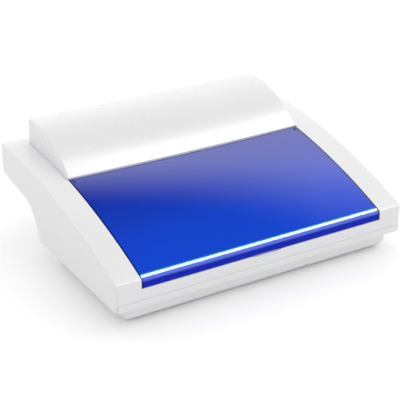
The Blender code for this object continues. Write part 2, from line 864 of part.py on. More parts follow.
def hood_hollow_outline(place_x):
    """Side view of the hood's hollow at a place along X."""
    outline = []
    front = hood_front_depth + hood_front_land
    for step in range(hood_steps + 1):
        depth = front + (hood_crest_depth - front) * step / hood_steps
        outline.append((hood_bowed(depth, place_x), hood_arc_height(depth, hood_wall)))
    outline.append((hood_rear_depth - hood_wall, hood_top_height - hood_wall))
    floor = rail_height(hood_front_depth, shell_wall) - cut_overrun
    outline.append((hood_rear_depth - hood_wall, floor))
    outline.append((hood_bowed(front, place_x), floor))
    return outline


def across(places):
    """Places along X on both sides of the middle, from those on its right."""
    return [-place_x for place_x in reversed(places)] + [0] + list(places)


def lamp_hood(surface):
    """Raised cover over the lamp and the electrics."""
    half = hood_width / 2
    places = [(half - hood_edge_round) * share for share in hood_place_shares]
    for step in range(hood_round_steps + 1):
        angle = math.pi / 2 * step / hood_round_steps
        places.append(half - hood_edge_round + hood_edge_round * math.sin(angle))
    hood = solid_from(loft_bmesh(across(places), hood_outline), "lamp_hood")
    inner = half - hood_wall
    places = [inner * share for share in hood_place_shares] + [inner]
    cut(hood, solid_from(loft_bmesh(across(places), hood_hollow_outline), "hollow"))
    tabs = []
    holes = []
    for side in (-1, 1):
        tab_x = side * hood_boss_spacing / 2
        low = (tab_x - hood_tab_width / 2, hood_rear_depth - hood_wall, hood_boss_height - hood_tab_drop)
        high = (tab_x + hood_tab_width / 2, hood_rear_depth,
                rail_height(hood_rear_depth) + hood_wall)
        tabs.append(block("tab", low, high))
        tabs.append(rod("boss", (tab_x, hood_rear_depth - hood_wall, hood_boss_height),
                        (tab_x, rear_inner - seat_gap, hood_boss_height), hood_boss_radius))
        holes.append(rod("hole", (tab_x, panel_face - hood_screw_length, hood_boss_height),
                         (tab_x, cabinet_depth, hood_boss_height), screw_hole_radius, small_sides))
    join(hood, *tabs)
    cut(hood, *holes)
    return place(hood, surface)


def lid_rear_at(place_x):
    """Depth of the lid's rear edge, which bows forward in the middle."""
    return lid_rear_depth - lid_bow * (1 - (place_x / (lid_width / 2)) ** 2)


def lip_bottom_at(place_x):
    """Height of the lid's lip, lower over the width of the thumb tab."""
    beyond = (abs(place_x) - lid_tab_width / 2) / lid_tab_slope_width
    return lip_height - lid_tab_drop * min(max(1 - beyond, 0), 1)


def lid_outline(place_x):
    """Side view of the lid at a place along X."""
    outer = lid_path(0, lid_rear_at(place_x), lip_bottom_at(place_x))
    inner = lid_path(lid_wall, lid_rear_at(place_x), lip_bottom_at(place_x))
    return outer + inner[::-1]


def lid(surface):
    """Curved translucent lid with a rolled lip, a thumb tab, two slits and two hinge barrels."""
    half = lid_width / 2
    tab_half = lid_tab_width / 2
    places = [tab_half, tab_half + lid_tab_slope_width]
    places += [half * share for share in lid_place_shares] + [half]
    cover = solid_from(loft_bmesh(across(places), lid_outline), "lid")
    axis_depth, axis_height = hinge_axis()
    slits = []
    barrels = []
    bores = []
    for side in (-1, 1):
        slit_outer = half - lid_slit_inset
        low = (side * (slit_outer - lid_slit_width), lid_rear_depth - lid_slit_length, axis_height)
        high = (side * slit_outer, lid_rear_depth + cut_overrun, top_of_everything)
        slits.append(block("slit", low, high))
        outer = rail_inner - barrel_end_gap
        barrels.append(rod("barrel", (side * (outer - barrel_length), axis_depth, axis_height),
                           (side * outer, axis_depth, axis_height), barrel_radius))
        bores.append(rod("bore", (side * (outer - 2 * barrel_length), axis_depth, axis_height),
                         (side * (outer + barrel_length), axis_depth, axis_height),
                         hinge_pin_radius + seat_gap, small_sides))
    cut(cover, *slits)
    join(cover, *barrels)
    cut(cover, *bores)
    return place(cover, surface, (0, axis_depth, axis_height))


def hinge_pins(surface):
    """Steel pins on which the lid turns."""
    axis_depth, axis_height = hinge_axis()
    for side, name in ((-1, "hinge_pin_left"), (1, "hinge_pin_right")):
        start = (side * hinge_pin_inner, axis_depth, axis_height)
        end = (side * (hinge_pin_inner + hinge_pin_length), axis_depth, axis_height)
        place(rod(name, start, end, hinge_pin_radius, small_sides), surface, start)


def chamber_tub(surface):
    """Pressed metal floor and low walls of the chamber, with a rim all round."""
    bottom = tray_bottom + base_wall + seat_gap
    rim_bottom = tub_rim_height - tub_wall
    half = tub_width / 2
    corner = tray_round - base_wall
    tub = rounded_box("chamber_tub", half, tub_front, tub_rear, bottom, tub_rim_height, corner)
    flange = rounded_box("flange", tub_flange_width / 2, tub_flange_front, tub_flange_rear, rim_bottom,
                         tub_rim_height, corner + tub_wall, False)
    join(tub, flange)
    well = rounded_box("well", half - tub_wall, tub_front + tub_wall, tub_rear - tub_wall,
                       bottom + tub_wall, tub_rim_height + cut_overrun, corner - tub_wall)
    cut(tub, well)
    return place(tub, surface)


def reflector_path():
    """Side view of the reflector from its foot on the base to its front lip."""
    floor = underside_path(base_wall, rear_inner)
    foot = (reflector_foot_depth, path_height(floor, reflector_foot_depth) + reflector_foot_lift)
    arc = rounded_corner(reflector_knee, reflector_crest, reflector_lip, reflector_round,
                         reflector_round_steps)
    return [foot, reflector_knee] + arc + [reflector_lip]


def sheet_outline(path, wall):
    """Outline of a sheet that follows a side-view path, with its wall to the left of it."""
    normals = []
    for start, end in zip(path, path[1:]):
        run = (Vector(end) - Vector(start)).normalized()
        normals.append(Vector((-run.y, run.x)))
    shifted = []
    for number, point in enumerate(path):
        before = normals[max(number - 1, 0)]
        after = normals[min(number, len(normals) - 1)]
        mitre = (before + after) / (1 + before.dot(after))
        shifted.append(tuple(Vector(point) + mitre * wall))
    return path + shifted[::-1]


def lamp_reflector(surface):
    """Bent bright sheet behind and above the lamp."""
    outline = sheet_outline(reflector_path(), reflector_wall)
    half = reflector_width / 2
    return place(prism("lamp_reflector", outline, -half, half), surface)


def lamp(glass, metal):
    """Tube and its two caps, which turn together."""
    axis = (0, lamp_depth, lamp_height)
    end = lamp_face_x - lamp_cap_length - seat_gap
    tube = rod("lamp_tube", (-end, lamp_depth, lamp_height), (end, lamp_depth, lamp_height),
               lamp_radius - seat_gap, lamp_sides)
    place(tube, glass, axis)
    for side, name in ((-1, "lamp_cap_left"), (1, "lamp_cap_right")):
        cap = rod(name, (side * (lamp_face_x - lamp_cap_length), lamp_depth, lamp_height),
                  (side * lamp_face_x, lamp_depth, lamp_height), lamp_radius, lamp_sides)
        pins = []
        for rise in (-lamp_pin_spacing / 2, lamp_pin_spacing / 2):
            pins.append(rod("pin", (side * (lamp_face_x - lamp_pin_radius), lamp_depth, lamp_height + rise),
                            (side * (lamp_face_x + lamp_pin_length), lamp_depth, lamp_height + rise),
                            lamp_pin_radius, small_sides))
        join(cap, *pins)
        place(cap, metal, axis)


def lamp_holders(surface, rotor_surface):
    """End holders of the lamp and the slotted rotors that grip its pins."""
    axis = (0, lamp_depth, lamp_height)
    slot_half = holder_slot_width / 2
    for side, place_name in ((-1, "left"), (1, "right")):
        low = (side * holder_inner_x, lamp_depth - holder_depth / 2, lamp_height - holder_height / 2)
        high = (side * holder_outer_x, lamp_depth + holder_depth / 2, lamp_height + holder_height / 2)
        holder = block("lamp_holder_" + place_name, low, high)
        bore = rod("bore", (side * (holder_inner_x - cut_overrun), lamp_depth, lamp_height),
                   (side * (rotor_outer_x + seat_gap), lamp_depth, lamp_height), rotor_radius + seat_gap,
                   lamp_sides)
        entry_low = (side * (holder_inner_x - cut_overrun), lamp_depth - holder_depth,
                     lamp_height - slot_half)
        entry_high = (side * (rotor_inner_x + rotor_slot_depth), lamp_depth, lamp_height + slot_half)
        cut(holder, bore, block("entry", entry_low, entry_high))
        place(holder, surface)
        rotor = rod("holder_rotor_" + place_name, (side * rotor_inner_x, lamp_depth, lamp_height),
                    (side * rotor_outer_x, lamp_depth, lamp_height), rotor_radius, lamp_sides)
        slot_low = (side * (rotor_inner_x - cut_overrun), lamp_depth - slot_half,
                    lamp_height - 2 * rotor_radius)
        slot_high = (side * (rotor_inner_x + rotor_slot_depth), lamp_depth + slot_half,
                     lamp_height + 2 * rotor_radius)
        cut(rotor, block("slot", slot_low, slot_high))
        place(rotor, rotor_surface, axis)


def ballast(surface):
    """Choke in the right cheek, a block with a lug at each end."""
    seat = ballast_seat + seat_gap
    half = ballast_width / 2
    plate = block("ballast", (ballast_centre_x - half, ballast_front, seat),
                  (ballast_centre_x + half, ballast_front + ballast_length, seat + ballast_lug_height))
    core = block("core", (ballast_centre_x - half, ballast_front + ballast_lug_length, seat),
                 (ballast_centre_x + half, ballast_front + ballast_length - ballast_lug_length,
                  seat + ballast_height * ballast_block_share))
    coil_inset = ballast_lug_height
    coil = block("coil", (ballast_centre_x - half + coil_inset,
                          ballast_front + ballast_lug_length + coil_inset, seat + ballast_lug_height),
                 (ballast_centre_x + half - coil_inset,
                  ballast_front + ballast_length - ballast_lug_length - coil_inset,
                  seat + ballast_height))
    join(plate, core, coil)
    holes = [rod("hole", (ballast_centre_x, depth, seat - cut_overrun),
                 (ballast_centre_x, depth, seat + cut_overrun), screw_hole_radius, small_sides)
             for depth in ballast_screw_depths()]
    cut(plate, *holes)
    return place(plate, surface)


def screw(name, seat, run, length, surface):
    """Screw with a flat round head: seat is the face under its head, run points along its shank."""
    seat = Vector(seat)
    run = Vector(run)
    head = rod(name, seat - run * (screw_head_height + seat_gap), seat - run * seat_gap,
               screw_head_radius)
    shank = rod("shank", seat - run * (screw_head_height / 2), seat + run * length, screw_shank_radius,
                small_sides)
    join(head, shank)
    if run.z:
        slot_size = (screw_slot_length, screw_slot_width, 2 * screw_slot_cut)
    else:
        slot_size = (screw_slot_length, 2 * screw_slot_cut, screw_slot_width)
    cut(head, centred_block("slot", seat - run * (screw_head_height + seat_gap), slot_size))
    return place(head, surface, seat)


def screws(surface):
    """Screws that hold the base, the hood and the ballast."""
    for side, side_name in ((-1, "left"), (1, "right")):
        for depth, row_name in zip(base_screw_depths, ("front", "middle", "rear")):
            screw("base_screw_" + side_name + "_" + row_name, (side * ledge_screw_x, depth, underside_height),
                  (0, 0, 1), base_screw_length - screw_tip_gap, surface)
        screw("hood_screw_" + side_name, (side * hood_boss_spacing / 2, panel_face, hood_boss_height),
              (0, -1, 0), hood_screw_length - screw_tip_gap, surface)
    top = ballast_seat + seat_gap + ballast_lug_height
    for depth, name in zip(ballast_screw_depths(), ("ballast_screw_front", "ballast_screw_rear")):
        screw(name, (ballast_centre_x, depth, top), (0, 0, -1),
              ballast_screw_length + seat_gap, surface)


def starter(surface):
    """Glow starter can with its two pins, which lock by a part turn."""
    x = starter_inner_x + seat_gap
    axis = (x, starter_depth, starter_height)
    can = rod("starter", (x + starter_neck_length, starter_depth, starter_height),
              (x + starter_length, starter_depth, starter_height), starter_radius, lamp_sides)
    parts = [rod("neck", (x, starter_depth, starter_height),
                 (x + 2 * starter_neck_length, starter_depth, starter_height), starter_neck_radius)]
    for offset in (-starter_pin_spacing / 2, starter_pin_spacing / 2):
        parts.append(rod("pin", (x - starter_pin_length, starter_depth + offset, starter_height),
                         (x + starter_pin_length, starter_depth + offset, starter_height),
                         starter_pin_radius, small_sides))
    join(can, *parts)
    return place(can, surface, axis)


def starter_socket(surface):
    """Socket on the tail's pad, with a round groove for the starter's pins."""
    top = starter_height + socket_width / 2
    low = (starter_inner_x - socket_length, starter_depth - socket_width / 2, tail_pad_height + seat_gap)
    high = (starter_inner_x, starter_depth + socket_width / 2, top)
    socket = block("starter_socket", low, high)
    depth = starter_pin_length + seat_gap
    groove = rod("groove", (starter_inner_x - depth, starter_depth, starter_height),
                 (starter_inner_x + cut_overrun, starter_depth, starter_height), socket_groove_outer,
                 lamp_sides)
    core = rod("core", (starter_inner_x - 2 * depth, starter_depth, starter_height),
               (starter_inner_x + 2 * cut_overrun, starter_depth, starter_height), socket_groove_inner)
    cut(groove, core)
    cut(socket, groove)
    return place(socket, surface)


def power_inlet(surface, pin_surface):
    """Appliance inlet in the rear panel, with three flat pins."""
    seat = panel_face + seat_gap
    centre = (inlet_centre_x, seat, panel_centre_height)
    flange = centred_block("power_inlet", (inlet_centre_x, seat + inlet_flange_thickness / 2,
                                           panel_centre_height),
                           (inlet_flange_width, inlet_flange_thickness, inlet_flange_height))
    body = centred_block("body", (inlet_centre_x, seat - inlet_body_depth / 2 + seat_gap,
                                  panel_centre_height),
                         (inlet_body_width, inlet_body_depth + 2 * seat_gap, inlet_body_height))
    join(flange, body)
    mouth_top = seat + inlet_flange_thickness + cut_overrun
    mouth_floor = seat + inlet_flange_thickness - inlet_mouth_depth
    mouth = block("mouth", (inlet_centre_x - inlet_mouth_width / 2, mouth_floor,
                            panel_centre_height - inlet_mouth_height / 2),
                  (inlet_centre_x + inlet_mouth_width / 2, mouth_top,
                   panel_centre_height + inlet_mouth_height / 2))
    cut(flange, mouth)
    place(flange, surface, centre)
    places = ((-inlet_pin_spacing / 2, 0), (0, inlet_earth_rise), (inlet_pin_spacing / 2, 0))
    for (offset, rise), name in zip(places, ("inlet_pin_left", "inlet_pin_earth", "inlet_pin_right")):
        x = inlet_centre_x + offset
        z = panel_centre_height + rise
        start = mouth_floor + seat_gap
        pin = block(name, (x - inlet_pin_thickness / 2, start, z - inlet_pin_height / 2),
                    (x + inlet_pin_thickness / 2, start + inlet_pin_length, z + inlet_pin_height / 2))
        place(pin, pin_surface, (x, start, z))


def rocker_pivot():
    """Depth and height of the axis on which the rocker tilts."""
    return panel_face + seat_gap + switch_bezel_thickness - rocker_pivot_inset, panel_centre_height


def switch_bezel(surface):
    """Frame and body of the mains switch."""
    seat = panel_face + seat_gap
    frame = centred_block("switch_bezel", (switch_centre_x, seat + switch_bezel_thickness / 2,
                                           panel_centre_height),
                          (switch_bezel_width, switch_bezel_thickness, switch_bezel_height))
    body = centred_block("body", (switch_centre_x, seat - switch_body_depth / 2 + seat_gap,
                                  panel_centre_height),
                         (switch_body_width, switch_body_depth + 2 * seat_gap, switch_body_height))
    join(frame, body)
    front = seat + switch_bezel_thickness
    well = block("well", (switch_centre_x - switch_well_width / 2, front - switch_well_depth,
                          panel_centre_height - switch_well_height / 2),
                 (switch_centre_x + switch_well_width / 2, front + cut_overrun,
                  panel_centre_height + switch_well_height / 2))
    pivot_depth, pivot_height = rocker_pivot()
    reach = rocker_width / 2 + rocker_pin_reach + seat_gap
    bearing = rod("bearing", (switch_centre_x - reach, pivot_depth, pivot_height),
                  (switch_centre_x + reach, pivot_depth, pivot_height), rocker_pin_radius + seat_gap,
                  small_sides)
    cut(frame, well, bearing)
    return place(frame, surface)


def switch_rocker(surface):
    """Rocker of the mains switch, tilted to its off side."""
    pivot_depth, pivot_height = rocker_pivot()
    half = rocker_height / 2
    root_half = rocker_root_height / 2
    outline = [(-rocker_root, -root_half), (rocker_rise, -half), (rocker_rise - rocker_dish, 0),
               (rocker_rise, half), (-rocker_root, root_half)]
    half_width_of_rocker = rocker_width / 2
    rocker = prism("switch_rocker", outline, -half_width_of_rocker, half_width_of_rocker)
    reach = half_width_of_rocker + rocker_pin_reach
    join(rocker, rod("pivot", (-reach, 0, 0), (reach, 0, 0), rocker_pin_radius, small_sides))
    rocker.data.transform(Matrix.Rotation(-rocker_tilt, 4, "X"))
    pivot = (switch_centre_x, pivot_depth, pivot_height)
    rocker.data.transform(Matrix.Translation(pivot))
    return place(rocker, surface, pivot)


def interlock(surface, plunger_surface):
    """Switch under the right ledge and the plunger that the closed lid holds down."""
    top = rail_height(interlock_depth - interlock_length / 2, block_inset) - seat_gap
    inner = inner_wall_outer + interlock_inner_gap
    low = (inner, interlock_depth - interlock_length / 2, top - interlock_height)
    high = (inner + interlock_width, interlock_depth + interlock_length / 2, top)
    switch = block("interlock_switch", low, high)
    well = rod("well", (plunger_x, interlock_depth, top - interlock_well),
               (plunger_x, interlock_depth, top + cut_overrun), plunger_hole_radius, small_sides)
    cut(switch, well)
    place(switch, surface)
    tip = rail_height(interlock_depth, lid_wall) - seat_gap
    start = (plunger_x, interlock_depth, tip)
    end = (plunger_x, interlock_depth, tip - plunger_length)
    place(rod("interlock_plunger", start, end, plunger_radius, small_sides), plunger_surface, start)


def lid_bumpers(surface):
    """Soft pads set into the ledge, on which the lid closes."""
    for side, name in ((-1, "lid_bumper_left"), (1, "lid_bumper_right")):
        start, end = bumper_span(side, 0)
        place(prism(name, bumper_outline(0), start, end), surface)


def feet(surface):
    """Four low round feet under the tray."""
    for side, side_name in ((-1, "left"), (1, "right")):
        for depth, row_name in zip(foot_depths, ("front", "rear")):
            x = side * foot_spacing_x / 2
            foot = rod("foot_" + side_name + "_" + row_name, (x, depth, 0),
                       (x, depth, tray_bottom - seat_gap), foot_radius)
            place(foot, surface, (x, depth, 0))


def smooth_route(route):
    """Evenly spaced points on a smooth curve through a route's own points."""
    ends = [Vector(route[0]) * 2 - Vector(route[1])]
    points = ends + [Vector(point) for point in route]
    points.append(points[-1] * 2 - points[-2])
    fine = []
    for before, start, end, after in zip(points, points[1:], points[2:], points[3:]):
        count = max(1, round((end - start).length / wire_spacing))
        for step in range(count):
            t = step / count
            fine.append(0.5 * (2 * start + (end - before) * t
                               + (2 * before - 5 * start + 4 * end - after) * t ** 2
                               + (3 * start - before - 3 * end + after) * t ** 3))
    fine.append(points[-2])
    return fine


def wire(name, route, surface):
    """Insulated wire along a route."""
    curve = bpy.data.curves.new(name, "CURVE")
    curve.dimensions = "3D"
    curve.bevel_depth = wire_radius
    curve.bevel_resolution = 1
    curve.use_fill_caps = True
    spline = curve.splines.new("POLY")
    points = smooth_route(route)
    spline.points.add(len(points) - 1)
    for target, point in zip(spline.points, points):
        target.co = (*point, 1)
    strand = bpy.data.objects.new(name, curve)
    bpy.context.collection.objects.link(strand)
    strand.location = (0, -cabinet_depth / 2, 0)
    curve.materials.append(surface)
    return strand


def route(*stretches):
    """Points of a wire, each stretch of them given as offsets from a place on what it passes."""
    return [Vector(start) + Vector(offset) for start, offsets in stretches for offset in offsets]


def wires(live, neutral, plain):
    """Wires between the inlet, the switches, the ballast, the lamp and the starter."""
    seat = panel_face + seat_gap
    inlet = (inlet_centre_x, seat - inlet_body_depth, panel_centre_height)
    switch = (switch_centre_x, seat - switch_body_depth, panel_centre_height)
    wall_hole = (chamber_side, wire_hole_front, wire_hole_bottom)
    block_x = inner_wall_outer + interlock_inner_gap + interlock_width / 2
    block_top = rail_height(interlock_depth - interlock_length / 2, block_inset)
    lid_switch = (block_x, interlock_depth + interlock_length / 2, block_top)
    coil_rear = ballast_front + ballast_length - ballast_lug_length - ballast_lug_height
    choke = (ballast_centre_x, coil_rear, ballast_seat)
    holder_rear = lamp_depth + holder_depth / 2
    right_holder = (holder_outer_x, holder_rear, lamp_height)
    left_holder = (-holder_outer_x, holder_rear, lamp_height)
    socket = (starter_inner_x - socket_length, starter_depth, starter_height)
    tail = (0, cabinet_depth, tail_height)
    wire("wire_inlet_to_switch", route(
        (inlet, [(0.0070, -0.0005, 0.0030), (0.0070, -0.0025, 0.0030), (0.0140, -0.0035, 0.0115)]),
        (switch, [(-0.0070, -0.0048, 0.0105), (0, -0.0028, 0.0030), (0, -0.0005, 0.0030)])), live)
    wire("wire_switch_to_interlock", route(
        (switch, [(0, -0.0005, -0.0035), (0, -0.0028, -0.0035), (0.0170, -0.0073, -0.0105)]),
        (wall_hole, [(-0.0220, 0.0110, 0.0035), (-0.0070, 0.0060, 0.0035), (0.0060, 0.0045, 0.0035),
                     (0.0135, -0.0060, 0.0020), (0.0150, -0.0350, 0)]),
        (lid_switch, [(0.0046, 0.0250, -0.0094), (0.0006, 0.0080, -0.0081), (0, 0.0003, -0.0079)])), live)
    wire("wire_interlock_to_ballast", route(
        (lid_switch, [(0, 0.0003, -0.0114), (0.0011, 0.0035, -0.0124), (0.0066, 0.0080, -0.0209)]),
        (choke, [(0, 0.0045, 0.0230), (0, 0.0004, 0.0230)])), live)
    wire("wire_ballast_to_lamp", route(
        (choke, [(0.0060, 0.0003, 0.0230), (0.0070, 0.0065, 0.0250), (0.0080, 0.0235, 0.0370),
                 (0.0050, 0.0485, 0.0530)]),
        (wall_hole, [(0.0170, -0.0150, 0.0115), (0.0100, 0.0020, 0.0120), (0.0015, 0.0090, 0.0115),
                     (-0.0050, 0.0010, 0.0115)]),
        (right_holder, [(-0.0062, 0.0140, -0.0050), (-0.0062, 0.0003, -0.0050)])), live)
    wire("wire_lamp_to_starter", route(
        (right_holder, [(-0.0062, 0.0003, 0.0050), (-0.0062, 0.0130, 0.0060), (-0.0117, 0.0240, 0.0080),
                        (-0.0367, 0.0260, 0.0110)]),
        (socket, [(0.0240, -0.0160, 0.0170), (-0.0010, -0.0140, 0.0150), (-0.0065, -0.0080, 0.0070),
                  (-0.0050, -0.0040, 0.0020), (-0.0003, -0.0040, 0.0010)])), plain)
    wire("wire_starter_to_lamp", route(
        (socket, [(-0.0003, 0.0040, 0.0010), (-0.0055, 0.0040, -0.0010), (-0.0160, 0.0030, -0.0090),
                  (-0.0360, 0.0010, -0.0165)]),
        (tail, [(-0.0500, -0.0420, -0.0004)]),
        (left_holder, [(0.0417, 0.0350, -0.0205), (0.0147, 0.0250, -0.0150), (0.0062, 0.0130, -0.0070),
                       (0.0062, 0.0003, -0.0050)])), plain)
    wire("wire_inlet_to_lamp", route(
        (inlet, [(-0.0070, -0.0003, 0), (-0.0075, -0.0043, -0.0010), (-0.0180, -0.0063, -0.0100),
                 (-0.0350, -0.0063, -0.0175)]),
        (tail, [(-0.0500, -0.0320, 0.0016)]),
        (left_holder, [(0.0417, 0.0450, -0.0185), (0.0127, 0.0310, -0.0070), (0.0062, 0.0170, 0.0035),
                       (0.0062, 0.0003, 0.0050)])), neutral)


def clear_scene():
    """Removes what a new file starts with."""
    for thing in list(bpy.data.objects):
        bpy.data.objects.remove(thing)


def build():
    """Makes every piece."""
    clear_scene()
    white = material("white_plastic", (0.86, 0.86, 0.88), 0.32)
    blue = material("blue_acrylic", (0.01, 0.07, 0.80), 0.08, alpha=0.7)
    steel = material("satin_steel", (0.62, 0.62, 0.64), 0.35, 1)
    bright = material("bright_aluminium", (0.88, 0.89, 0.90), 0.15, 1)
    glass = material("lamp_glass", (0.80, 0.88, 0.95), 0.05, alpha=0.6)
    black = material("black_plastic", (0.03, 0.03, 0.03), 0.45)
    cream = material("holder_plastic", (0.80, 0.78, 0.72), 0.5)
    rubber = material("grey_rubber", (0.16, 0.16, 0.17), 0.8)
    brass = material("plated_brass", (0.75, 0.70, 0.55), 0.3, 1)
    red = material("wire_red", (0.45, 0.03, 0.03), 0.5)
    navy = material("wire_blue", (0.02, 0.06, 0.35), 0.5)
    grey = material("wire_grey", (0.35, 0.35, 0.36), 0.5)
    body_shell(white)
    base_shell(white)
    lamp_hood(white)
    lid(blue)
    hinge_pins(steel)
    chamber_tub(steel)
    lamp_reflector(bright)
    lamp(glass, bright)
    lamp_holders(cream, cream)
    ballast(steel)
    screws(steel)
    starter(cream)
    starter_socket(black)
    power_inlet(black, brass)
    switch_bezel(black)
    switch_rocker(black)
    interlock(black, cream)
    lid_bumpers(rubber)
    feet(rubber)
    wires(red, navy, grey)


build()
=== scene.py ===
"""Looks of a table-top ultraviolet steriliser cabinet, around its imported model.

Lengths are in metres. Side-view points are (depth, height), with depth measured back
from the front face, as in the part's source.
"""
import json
import math

import bmesh
import bpy
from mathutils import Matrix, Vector


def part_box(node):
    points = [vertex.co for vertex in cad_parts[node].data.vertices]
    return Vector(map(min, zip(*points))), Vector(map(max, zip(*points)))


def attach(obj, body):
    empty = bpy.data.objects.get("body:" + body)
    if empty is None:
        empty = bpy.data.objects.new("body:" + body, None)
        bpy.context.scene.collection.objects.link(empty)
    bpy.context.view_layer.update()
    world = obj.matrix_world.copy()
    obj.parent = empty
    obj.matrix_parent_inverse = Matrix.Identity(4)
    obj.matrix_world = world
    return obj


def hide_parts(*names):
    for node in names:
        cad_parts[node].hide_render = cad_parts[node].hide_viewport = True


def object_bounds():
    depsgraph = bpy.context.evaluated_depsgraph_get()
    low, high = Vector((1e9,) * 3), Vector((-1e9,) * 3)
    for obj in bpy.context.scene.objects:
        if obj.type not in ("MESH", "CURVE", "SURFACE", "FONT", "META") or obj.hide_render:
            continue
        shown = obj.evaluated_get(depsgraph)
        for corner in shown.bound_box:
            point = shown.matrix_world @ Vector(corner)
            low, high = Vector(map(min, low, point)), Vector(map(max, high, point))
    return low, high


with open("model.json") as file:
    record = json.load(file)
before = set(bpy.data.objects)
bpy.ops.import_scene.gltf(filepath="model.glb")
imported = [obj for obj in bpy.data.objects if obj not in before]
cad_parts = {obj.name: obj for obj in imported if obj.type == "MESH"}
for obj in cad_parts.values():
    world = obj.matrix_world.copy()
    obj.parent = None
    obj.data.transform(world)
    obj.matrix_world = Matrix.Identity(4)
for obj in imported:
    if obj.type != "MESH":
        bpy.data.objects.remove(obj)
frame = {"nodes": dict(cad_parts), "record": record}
cad_low, cad_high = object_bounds()

# Cabinet, read from the frame
cabinet_depth = cad_high.y - cad_low.y
front_y = cad_low.y
seat_gap = 0.0003
same_place_gap = seat_gap / 10
weld_gap = seat_gap / 100
overrun = 0.005

# Rails: one arc seen from the side, level near the rear
rail_rear_setback = 0.002
rail_level_depth = cabinet_depth - rail_rear_setback
rail_level_height = 0.1132
rail_front_height = 0.05613
rail_drop = rail_level_height - rail_front_height
rail_radius = (rail_level_depth ** 2 + rail_drop ** 2) / (2 * rail_drop)

# Lid
lid_low, lid_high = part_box("lid")
lid_width = lid_high.x - lid_low.x
lid_wall = 0.003
lid_setback = lid_low.y - front_y
lid_lip_height = 0.045
lid_roll = 0.010
lid_rear_depth = 0.178
lid_bow = 0.003
lid_edge_round = 0.0006
lid_edge_steps = 3
lid_slit_width = 0.0018
lid_slit_length = 0.0085
lid_slit_inset = 0.004
hinge_depth = 0.169
hinge_drop = 0.0045
barrel_radius = 0.0035
barrel_length = 0.005
barrel_reach = 0.0002
hinge_pin_radius = 0.0015
bush_sink = 0.0012

# Lid's colours: its own blue over the chamber; painted shade at its rear, where the chamber behind is dark;
# a paler painted highlight on the roll; painted shade on the lip and along its side edges
acrylic_blue = (0.0, 0.10, 0.95, 1)
# painted shade: the lid's blue darker towards its rear, where the chamber behind it is dark
acrylic_rear_painted_shade = (0.0, 0.03, 0.50, 1)
# painted highlight: paler blue on the top of the roll, where the softbox's streak shines
acrylic_roll_painted_highlight = (0.0, 0.40, 1.0, 1)
# painted shade: darker blue on the lower roll and the lip
acrylic_lip_painted_shade = (0.0, 0.02, 0.60, 1)
# painted shade: near-black along the side edges, for the shaded gap and the edge-on acrylic
acrylic_edge_painted_shade = (0.0, 0.002, 0.03, 1)
acrylic_tint = (0.0, 0.30, 1.0, 1)
acrylic_see_through = 0.35
acrylic_index = 1.49
acrylic_gloss = 0.2
coat_index = 2.1
coat_roughness = 0.03

# Where the painted highlight and painted shade change: start and end on the roll, as shares of its radius
# above its centre
roll_highlight_and_shade_zones = (
    (1.0, 0.9, acrylic_roll_painted_highlight),
    (0.75, 0.6, acrylic_blue),
    (0.45, 0.2, acrylic_lip_painted_shade),
)
coat_start = 0.2
coat_full = 0.5

# Painted shade along the lid's side edges, for the shaded gap beside them and the acrylic seen edge-on, in
# from its sides
edge_shade_start = 0.0018
edge_shade_full = 0.0008

# Lamp hood
hood_low, hood_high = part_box("lamp_hood")
hood_width = hood_high.x - hood_low.x
hood_wall = 0.003
hood_front_depth = 0.1785
hood_front_lift = 0.0002
hood_front_dip = 0.0006
hood_sink_depth = 0.180
hood_sink = 0.003
hood_rear_depth = 0.287
hood_crest_depth = 0.280
hood_radius = 0.152
hood_bow = 0.003
hood_bow_end_depth = 0.230
hood_edge_round = 0.0035
hood_round_fade_length = 0.012
hood_corner_share = 0.9
hood_hollow_share = 0.66

# Steps of curved outlines
rail_steps = 40
roll_steps = 10
hood_steps = 30
round_steps = 7
width_steps = 10
round_sides = 32

# Small edges that every moulded or pressed piece has
fine_edge = 0.0003
fine_edge_steps = 2
round_profile = 0.5
smooth_angle = math.radians(35)

# Camera, in the photograph's place
camera_lens = 107.45
camera_place = (-0.6847, -1.1409, 0.6845)
camera_direction = (0.46503, 0.77333, -0.43093)

# Noise behind the slow mottle and the fine grain
mottle_detail = 3
mottle_roughness = 0.55
mottle_low = 0.3
mottle_high = 0.7
grain_detail = 2
grain_middle = 0.5
grain_strength = 0.6

# Quartz of the lamp
quartz_color = (0.82, 0.88, 0.95)
quartz_tint = (0.95, 0.97, 1.0, 1)
quartz_see_through = 0.4

# Studio as it lights the cabinet: its walls, brighter behind and on the right
wall_front = 0.72
wall_rear = 1.38
side_light = 0.3

# Studio as gloss shows it: a white panel, and a dark ceiling that starts higher on the right.
# Where they change is given as parts of a direction.
panel_light = 1.35
ceiling_light = 0.08
ceiling_start = 0.585
ceiling_full = 0.745
rise_start = 0.38
rise_full = 0.55
ceiling_rise = 0.095

# Softbox that shines as a streak on the lid's roll
softbox_place = (1.37, -0.92, 2.3)
softbox_size = (1.65, 1.8)
softbox_power = 84

# Floor
floor_size = 8
floor_color = (0.94, 0.94, 0.94, 1)
floor_roughness = 0.9
floor_gloss = 0.1
floor_lift = 0.1

# Inputs and output of a Mix node, by the kind of thing that it mixes
mix_sockets = {"RGBA": (6, 7, 2), "FLOAT": (2, 3, 0)}


def rail_height(depth, inset=0):
    """Height of the rail arc at a depth, or of an arc that lies inset below it."""
    reach = rail_level_depth - depth
    return rail_level_height - rail_radius + math.sqrt((rail_radius - inset) ** 2 - reach ** 2)


def rail_arc(start, end, inset, steps=rail_steps):
    """Points along the rail arc from one depth to another."""
    depths = [start + (end - start) * step / steps for step in range(steps + 1)]
    return [(depth, rail_height(depth, inset)) for depth in depths]


def rail_slope(depth):
    """Rise of the rail arc per metre of depth."""
    reach = rail_level_depth - depth
    return reach / math.sqrt(rail_radius ** 2 - reach ** 2)


def across(places):
    """Places along X on both sides of the middle, from those on its right."""
    return [-place_x for place_x in reversed(places)] + [0] + list(places)


